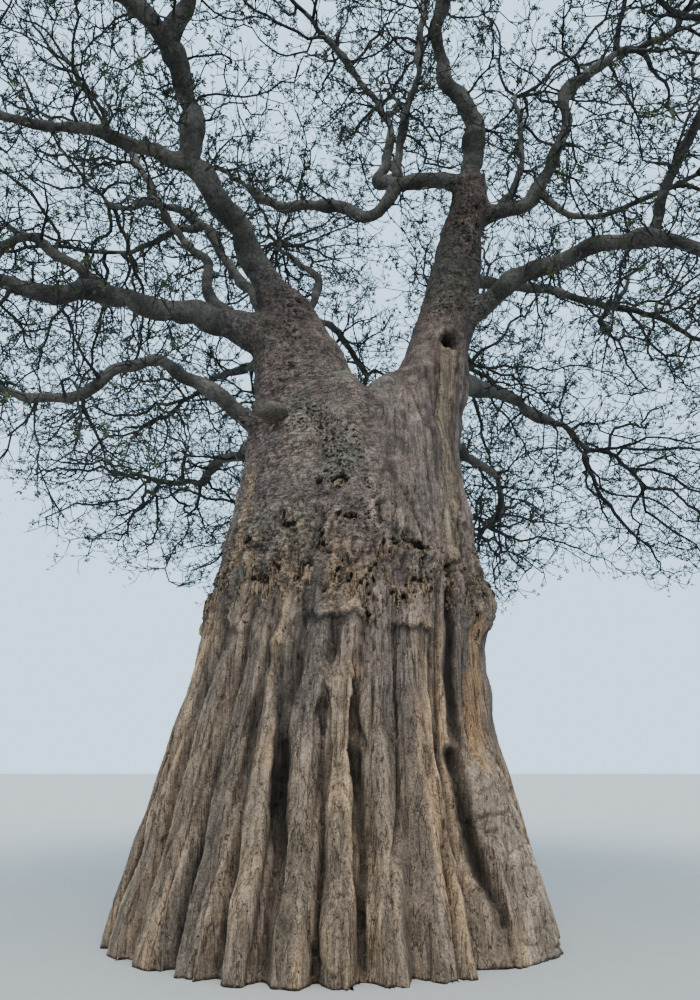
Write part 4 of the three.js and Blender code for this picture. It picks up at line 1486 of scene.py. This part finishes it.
def grow_crown(limbs, places):
    """Branches as arrays: the place, the parent and the heading of every node."""
    spots, headings, thick, limb_tips = buds_on_limbs(limbs)
    roots = len(spots)
    parents, fresh = [-1] * roots, list(range(roots))
    nearest, gaps = np.full(len(places), -1), np.full(len(places), np.inf)
    waiting = np.ones(len(places), dtype=bool)
    for _ in range(MOST_STEPS):
        look_for_nearer(fresh, spots, places, waiting, gaps, nearest)
        waiting &= gaps > REACHED
        pulling = np.flatnonzero(waiting & (gaps < SEEN_FROM))
        if not len(pulling):
            break
        pulling = pulling[np.argsort(nearest[pulling], kind="stable")]
        owners, starts = np.unique(nearest[pulling], return_index=True)
        fresh = []
        for owner, pulled in zip(owners, np.split(pulling, starts[1:])):
            pull = unit(places[pulled] - spots[owner]).mean(axis=0)
            wander = random.normal(0, WANDER, 3)
            heading = unit(unit(pull) + KEPT_WAY * headings[owner] + wander)
            spots.append(spots[owner] + heading * STEP)
            parents.append(owner)
            headings.append(heading)
            fresh.append(len(spots) - 1)
    return {
        "spots": np.array(spots), "parents": np.array(parents), "headings": np.array(headings),
        "roots": roots, "thick": thick, "limb_tips": limb_tips,
    }


def heaviest_children(parents, weights, roots):
    """For each node, the child that carries the most, or -1 at a tip."""
    main = np.full(len(parents), -1)
    for index in range(roots, len(parents)):
        rival = main[parents[index]]
        if rival < 0 or weights[index] > weights[rival]:
            main[parents[index]] = index
    return main


def thicken(crown):
    """Gives every node its radius: a branch is as thick as its twigs together."""
    parents, roots = crown["parents"], crown["roots"]
    weights = np.zeros(len(parents))
    for index in range(len(parents) - 1, roots - 1, -1):
        weights[index] = max(weights[index], 1.0)
        weights[parents[index]] += weights[index]
    radii = TWIG_RADIUS * np.maximum(weights, 1) ** (1 / PIPE_POWER)
    main = heaviest_children(parents, weights, roots)
    radii[:roots] = crown["thick"]
    for tip in crown["limb_tips"]:
        node, gone = main[tip], STEP
        while node >= 0 and gone < LIMB_FADE:
            radii[node] = max(radii[node], radii[tip] * (1 - LIMB_TAPER * gone / LIMB_FADE))
            node, gone = main[node], gone + STEP
    radii[roots:] *= random.uniform(*UNEVEN_THICKNESS, len(radii) - roots)
    for index in range(roots, len(radii)):
        radii[index] = min(radii[index], radii[parents[index]] * THINNER_THAN_PARENT)
    crown["radii"], crown["main"] = radii, main


def aim_rings(crown):
    """Two directions square to the branch at every node, carried along from its parent."""
    spots, parents, main, roots = crown["spots"], crown["parents"], crown["main"], crown["roots"]
    along = crown["headings"].copy()
    grown = np.arange(roots, len(spots))
    along[grown] = unit(spots[grown] - spots[parents[grown]])
    onward = main[grown]
    has = onward >= 0
    along[grown[has]] = unit(along[grown[has]] + unit(spots[onward[has]] - spots[grown[has]]))
    across = unit(np.cross(along, np.array(BRANCH_RING_START)))
    for index in grown:
        carried = across[parents[index]]
        carried = carried - (carried @ along[index]) * along[index]
        length = math.sqrt(carried @ carried)
        if length > 0.05:
            across[index] = carried / length
    crown["across"] = across
    crown["up"] = np.cross(along, across)
    crown["along"] = along


def begin_radii(crown, starters, is_main):
    """How thick a branch is where it leaves its parent, which its tube starts in the middle of."""
    own = crown["radii"][starters]
    radii = np.where(is_main, crown["radii"][crown["parents"][starters]], own * SIDE_BRANCH_SWELL)
    return np.minimum(radii, own * MOST_SWELL)


def limb_tubes(crown, nodes, sides):
    """Tubes up to the given nodes, each joined to its parent's ring where both belong to one limb."""
    spots, parents, radii, main = (crown[key] for key in ("spots", "parents", "radii", "main"))
    carriers, onward = parents[nodes], main[nodes]
    alike = np.zeros(len(spots), dtype=bool)
    alike[nodes] = True
    is_main = main[carriers] == nodes
    shared = is_main & alike[carriers]
    end_radii = np.where(onward < 0, radii[nodes] * TIP_SHARE, radii[nodes])
    ends = ring_places(spots[nodes], crown["across"][nodes], crown["up"][nodes], end_radii, sides)
    starters = nodes[~shared]
    start_radii = begin_radii(crown, starters, is_main[~shared])
    before = spots[parents[starters]]
    begins = ring_places(before, crown["across"][starters], crown["up"][starters], start_radii, sides)
    end_at = np.full(len(spots), -1)
    end_at[nodes] = np.arange(len(nodes)) * sides
    start_at = np.empty(len(nodes), dtype=int)
    start_at[shared] = end_at[carriers[shared]]
    start_at[~shared] = (len(nodes) + np.arange(len(starters))) * sides
    carried = (onward >= 0) & alike[onward]
    faces = wall_faces(start_at, end_at[nodes], sides)
    faces.append(cap_faces(end_at[nodes][~carried], sides, True))
    faces.append(cap_faces(start_at[~shared], sides, False))
    return np.concatenate([ends.reshape(-1, 3), begins.reshape(-1, 3)]), np.concatenate(faces)


def branch_mesh_arrays(crown, chosen):
    """Tubes for the chosen nodes, with more sides where they are thick."""
    radii = crown["radii"][chosen]
    kinds = [
        (radii < THIN_BELOW, THIN_SIDES),
        ((radii >= THIN_BELOW) & (radii < THICK_ABOVE), MIDDLE_SIDES),
        (radii >= THICK_ABOVE, THICK_SIDES),
    ]
    return merged([limb_tubes(crown, chosen[of_kind], sides) for of_kind, sides in kinds if of_kind.any()])


# Fine shoots on the outer branches, each a crooked line of a few joints: how many grow from a thin node,
# how far they turn aside in degrees, their length, and how they wander and lift.
SHOOTS_PER_NODE = (0, 3)
SHOOTS_BELOW_RADIUS = 0.030
SHOOT_TURN = (20, 65)
SHOOT_LENGTH = (0.20, 0.50)
SHOOT_JOINTS = 2
SHOOT_RADIUS = 0.0080
SIDE_SHOOT_TURN = (30, 65)
SIDE_SHOOT_LENGTH = (0.10, 0.28)
SIDE_SHOOT_JOINTS = 1
SIDE_SHOOT_RADIUS = 0.0064
SHOOT_TAPER = 0.4
SHOOT_WANDER = 0.20
SHOOT_LIFT = 0.26

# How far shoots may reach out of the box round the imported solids.
BOX_PLAY = 0.12


def turned_aside(headings, low, high):
    """Headings turned away from the given ones by an angle between two limits, any way round."""
    aside = unit(np.cross(headings, unit(random.normal(size=headings.shape))))
    angle = np.radians(random.uniform(low, high, len(headings)))[:, None]
    return headings * np.cos(angle) + aside * np.sin(angle)


def shoot_lines(starts, headings, lengths, joints):
    """Crooked lines from the given starts, which lift a little at every joint."""
    lines = [starts]
    for _ in range(joints):
        wander = random.normal(0, SHOOT_WANDER, headings.shape)
        headings = unit(headings + wander + np.array([0, 0, SHOOT_LIFT]))
        lines.append(lines[-1] + headings * (lengths / joints)[:, None])
    return np.stack(lines, axis=1)


def line_tubes(lines, thick):
    """Three-sided tubes along many lines of equal point counts, each drawn out to a point."""
    count, points = lines.shape[:2]
    along = unit(lines[:, -1] - lines[:, 0])
    across = unit(np.cross(along, np.where(np.abs(along[:, 2:]) < 0.7, [[0, 0, 1.0]], [[1.0, 0, 0]])))
    up = np.cross(along, across)
    rings = []
    for index in range(points - 1):
        radii = np.full(count, thick * (1 - SHOOT_TAPER * index / points))
        rings.append(ring_places(lines[:, index], across, up, radii, 3))
    places = np.concatenate([*rings, lines[:, -1:]], axis=1)
    corners = places.shape[1]
    starts = np.arange(count) * corners
    faces = [cap_faces(starts, 3, False)]
    for index in range(points - 2):
        faces.extend(wall_faces(starts + 3 * index, starts + 3 * index + 3, 3))
    faces.append(tip_faces(starts + 3 * (points - 2), starts + corners - 1, 3))
    return places.reshape(-1, 3), np.concatenate(faces)


def within_box(lines):
    """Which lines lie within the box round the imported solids, give or take the play."""
    low, high = np.array(cad_box[0]) - BOX_PLAY, np.array(cad_box[1]) + BOX_PLAY
    return ((lines > low) & (lines < high)).all(axis=(1, 2))


def grow_shoots(crown):
    """The lines of the shoots on the thin branches, and of the side shoots on these."""
    grown = np.arange(len(crown["spots"])) >= crown["roots"]
    thin = np.flatnonzero(grown & (crown["radii"] < SHOOTS_BELOW_RADIUS))
    thin = np.repeat(thin, random.integers(*SHOOTS_PER_NODE, len(thin)))
    headings = turned_aside(crown["along"][thin], *SHOOT_TURN)
    lengths = random.uniform(*SHOOT_LENGTH, len(thin))
    shoots = shoot_lines(crown["spots"][thin], headings, lengths, SHOOT_JOINTS)
    shoots = shoots[within_box(shoots)]
    lengths = random.uniform(*SIDE_SHOOT_LENGTH, len(shoots))
    headings = turned_aside(unit(shoots[:, 1] - shoots[:, 0]), *SIDE_SHOOT_TURN)
    side = shoot_lines(shoots[:, 1], headings, lengths, SIDE_SHOOT_JOINTS)
    return shoots, side[within_box(side)]


# Leaves, each a palm of narrow leaflets, in sprays at the ends of the shoots: how many leaflets there are,
# the degrees between them, their length in metres and how uneven it is, their width and where they are
# widest as shares of it, how much shorter the outer ones are, and how leaves droop and tilt.
LEAFLETS = 4
LEAFLET_SPREAD = 62
LEAFLET_LENGTH = (0.036, 0.068)
LEAFLET_UNEVENNESS = (0.85, 1.1)
LEAFLET_WIDTH = 0.50
WIDEST_AT = 0.58
OUTER_LEAFLET_LOSS = 0.22
LEAF_DROOP = 0.30
LEAF_TILT = 0.55

# The share of the shoots that bear a spray, and the leaves in it.
SPRAY_SHARE = 0.46
LEAVES_IN_SPRAY = 2


def leaf_palms(stalks, headings):
    """A few pointed leaflets of two faces from the end of each stalk, and the leaf of each face."""
    count = len(stalks)
    facing = unit(np.array([0, 0, 0.9]) + random.normal(0, LEAF_TILT, (count, 3)))
    forward = unit(headings - (headings * facing).sum(axis=1, keepdims=True) * facing)
    side = np.cross(facing, forward)
    length = random.uniform(*LEAFLET_LENGTH, count)[:, None]
    places = []
    for leaflet in range(LEAFLETS):
        turn = math.radians((leaflet - (LEAFLETS - 1) / 2) * LEAFLET_SPREAD)
        out = forward * math.cos(turn) + side * math.sin(turn)
        beside = side * math.cos(turn) - forward * math.sin(turn)
        reach = length * (1 - OUTER_LEAFLET_LOSS * abs(turn) / math.pi)
        reach = reach * random.uniform(*LEAFLET_UNEVENNESS, (count, 1))
        middle = stalks + out * reach * WIDEST_AT - facing * reach * LEAF_DROOP * 0.25
        tip = stalks + out * reach - facing * reach * LEAF_DROOP
        half = beside * reach * LEAFLET_WIDTH / 2
        places.extend([stalks, middle - half, tip, middle + half])
    places = np.stack(places, axis=1).reshape(-1, 3)
    quads = np.arange(count * LEAFLETS)[:, None] * 4
    faces = np.concatenate([quads + np.array([0, 1, 2]), quads + np.array([0, 2, 3])])
    owner = np.tile(np.repeat(np.arange(count), LEAFLETS), 2)
    return places, faces, owner


def grow_leaves(lines):
    """Places and headings of the leaves, with the number of the spray that each belongs to."""
    chosen = np.flatnonzero(random.random(len(lines)) < SPRAY_SHARE)
    stalks, headings, sprays = [], [], []
    for number in range(LEAVES_IN_SPRAY):
        tip, before = lines[chosen, -1], lines[chosen, -2]
        heading = unit(tip - before + random.normal(0, 0.05, tip.shape))
        back = number * random.uniform(0.25, 0.8, (len(chosen), 1))
        stalks.append(tip + (before - tip) * back)
        headings.append(heading)
        sprays.append(chosen)
    return np.concatenate(stalks), np.concatenate(headings), np.concatenate(sprays)


# The regions of the crown: each joined piece stands for the masses of one region. High regions start above
# this height, and each quarter has the bearing of its middle.
HIGH_REGIONS_ABOVE = 11.2
QUARTERS = {"right_back": 45, "left_back": 135, "left_front": 225, "right_front": 315}


def regions():
    """The masses of each region, and a tree of their middles to sort other places by."""
    groups, middles = {}, KDTree(len(MASS_NODES))
    owner = []
    for number, name in enumerate(MASS_NODES):
        low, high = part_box(name)
        middle = (low + high) / 2
        bearing = math.degrees(math.atan2(middle.y, middle.x)) % 360
        quarter = min(QUARTERS, key=lambda key: abs((QUARTERS[key] - bearing + 180) % 360 - 180))
        level = "high" if middle.z > HIGH_REGIONS_ABOVE else "low"
        region = f"{level}_{quarter}"
        groups.setdefault(region, []).append(name)
        owner.append(region)
        middles.insert(middle, number)
    middles.balance()
    return groups, middles, np.array(owner)


def region_of(places, middles, owner):
    return np.array([owner[middles.find(place)[1]] for place in places])


def merged(parts):
    """Several sets of places and faces as one."""
    offsets = np.cumsum([0] + [len(places) for places, _ in parts[:-1]])
    faces = [faces + offset for (_, faces), offset in zip(parts, offsets)]
    return np.concatenate([places for places, _ in parts]), np.concatenate(faces)


def add_leaves(region, masses, shoots, side_shoots, materials):
    """The leaves of one region, with a tint for each spray."""
    leafed = [grow_leaves(shoots), grow_leaves(side_shoots)]
    stalks, headings = (np.concatenate([rows[key] for rows in leafed]) for key in (0, 1))
    sprays = np.concatenate([leafed[0][2], leafed[1][2] + len(shoots)])
    places, faces, leaf = leaf_palms(stalks, headings)
    leaves = mesh_from(f"leaves_{region}", places, faces)
    tints = random.integers(0, len(materials), sprays.max() + 1)
    add_piece(leaves, materials, masses)
    leaves.polygons.foreach_set("material_index", tints[sprays[leaf]].astype(np.int32))
    leaves.update()


def add_crown(crown, twig_material, leaf_materials):
    """The branches, shoots and leaves, joined by region."""
    groups, middles, owner = regions()
    shoots, side_shoots = grow_shoots(crown)
    node_region = region_of(crown["spots"], middles, owner)
    shoot_region = region_of(shoots[:, 0], middles, owner)
    side_region = region_of(side_shoots[:, 0], middles, owner)
    for region, masses in groups.items():
        chosen = np.flatnonzero(node_region == region)
        chosen = chosen[chosen >= crown["roots"]]
        mine, mine_side = shoots[shoot_region == region], side_shoots[side_region == region]
        parts = [
            branch_mesh_arrays(crown, chosen),
            line_tubes(mine, SHOOT_RADIUS),
            line_tubes(mine_side, SIDE_SHOOT_RADIUS),
        ]
        mesh = mesh_from(f"twigs_{region}", *merged(parts))
        add_piece(mesh, [twig_material], masses)
        add_leaves(region, masses, mine, mine_side, leaf_materials)


# The studio: a pale floor, a plain sky, a soft sun, with its angles in degrees, and the photo's camera.
FLOOR_REACH = 400.0
FLOOR_COLOUR = (0.34, 0.34, 0.33)
FLOOR_ROUGHNESS = 0.9
SKY_COLOUR = (0.56, 0.80, 1.0)
SKY_STRENGTH = 2.0
SUN_COLOUR = (1.0, 0.94, 0.85)
SUN_STRENGTH = 4.8
SUN_SOFTNESS = 50
SUN_TILT = (32, 4)


def in_scene(name, data):
    """A new object in the scene."""
    thing = bpy.data.objects.new(name, data)
    bpy.context.scene.collection.objects.link(thing)
    return thing


def add_stage():
    corners = np.array([[-1, -1, 0], [1, -1, 0], [1, 1, 0], [-1, 1, 0]]) * FLOOR_REACH
    mesh = mesh_from("floor", corners, np.array([[0, 1, 2], [0, 2, 3]]))
    material = bpy.data.materials.new("floor")
    material.use_nodes = True
    surface = material.node_tree.nodes["Principled BSDF"]
    surface.inputs["Base Color"].default_value = opaque(FLOOR_COLOUR)
    surface.inputs["Roughness"].default_value = FLOOR_ROUGHNESS
    mesh.materials.append(material)
    in_scene("floor", mesh)
    world = bpy.data.worlds.new("studio")
    world.use_nodes = True
    background = world.node_tree.nodes["Background"]
    background.inputs["Color"].default_value = opaque(SKY_COLOUR)
    background.inputs["Strength"].default_value = SKY_STRENGTH
    bpy.context.scene.world = world
    lamp = bpy.data.lights.new("soft_sun", "SUN")
    lamp.energy = SUN_STRENGTH
    lamp.angle = math.radians(SUN_SOFTNESS)
    lamp.color = SUN_COLOUR
    in_scene("soft_sun", lamp).rotation_euler = (math.radians(SUN_TILT[0]), math.radians(SUN_TILT[1]), 0)


def add_camera():
    lens = bpy.data.cameras.new("camera")
    lens.lens = CAMERA_LENS
    lens.sensor_width = CAMERA_FRAME
    lens.clip_end = CAMERA_REACH
    camera = in_scene("camera", lens)
    camera.location = CAMERA_PLACE
    camera.rotation_euler = (math.radians(90 + CAMERA_RISE), 0, 0)
    bpy.context.scene.camera = camera


# Base colours of the boughs, the stumps and the twigs, from their hollows to their pale patches, and how
# deep their wrinkles are, then the colours of the leaves.
BOUGH_LOOK = ((0.040, 0.036, 0.031), (0.108, 0.096, 0.081), 0.02)
STUMP_LOOK = ((0.070, 0.056, 0.046), (0.150, 0.118, 0.096), 0.02)
TWIG_LOOK = ((0.026, 0.023, 0.021), (0.044, 0.039, 0.035), 0.004)
LEAF_COLOURS = {
    "leaf_olive": (0.046, 0.054, 0.024),
    "leaf_dark": (0.030, 0.036, 0.019),
    "leaf_light": (0.072, 0.080, 0.036),
}


def main():
    add_camera()
    add_stage()
    trees = {name: solid_tree(name) for name in WOOD_NODES}
    traced = traced_limbs(trees)
    limbs = {name: traced[name] for name in BOUGH_NODES}
    add_trunk(trunk_bark_material(), limbs)
    bough_material = bough_bark_material("bough_bark", *BOUGH_LOOK)
    stump_material = bough_bark_material("stump_bark", *STUMP_LOOK)
    twig_material = bough_bark_material("twig_bark", *TWIG_LOOK)
    leaf_materials = [leaf_material(name, colour) for name, colour in LEAF_COLOURS.items()]
    for name, (line, radii, carrier) in traced.items():
        add_bough(name, line, radii, carrier, stump_material if name in STUMP_NODES else bough_material)
    mass_trees = {name: solid_tree(name) for name in MASS_NODES}
    places = np.concatenate([places_in_masses(mass_trees), places_by_limbs(limbs, trees)])
    crown = grow_crown(limbs, places)
    thicken(crown)
    aim_rings(crown)
    add_crown(crown, twig_material, leaf_materials)


main()
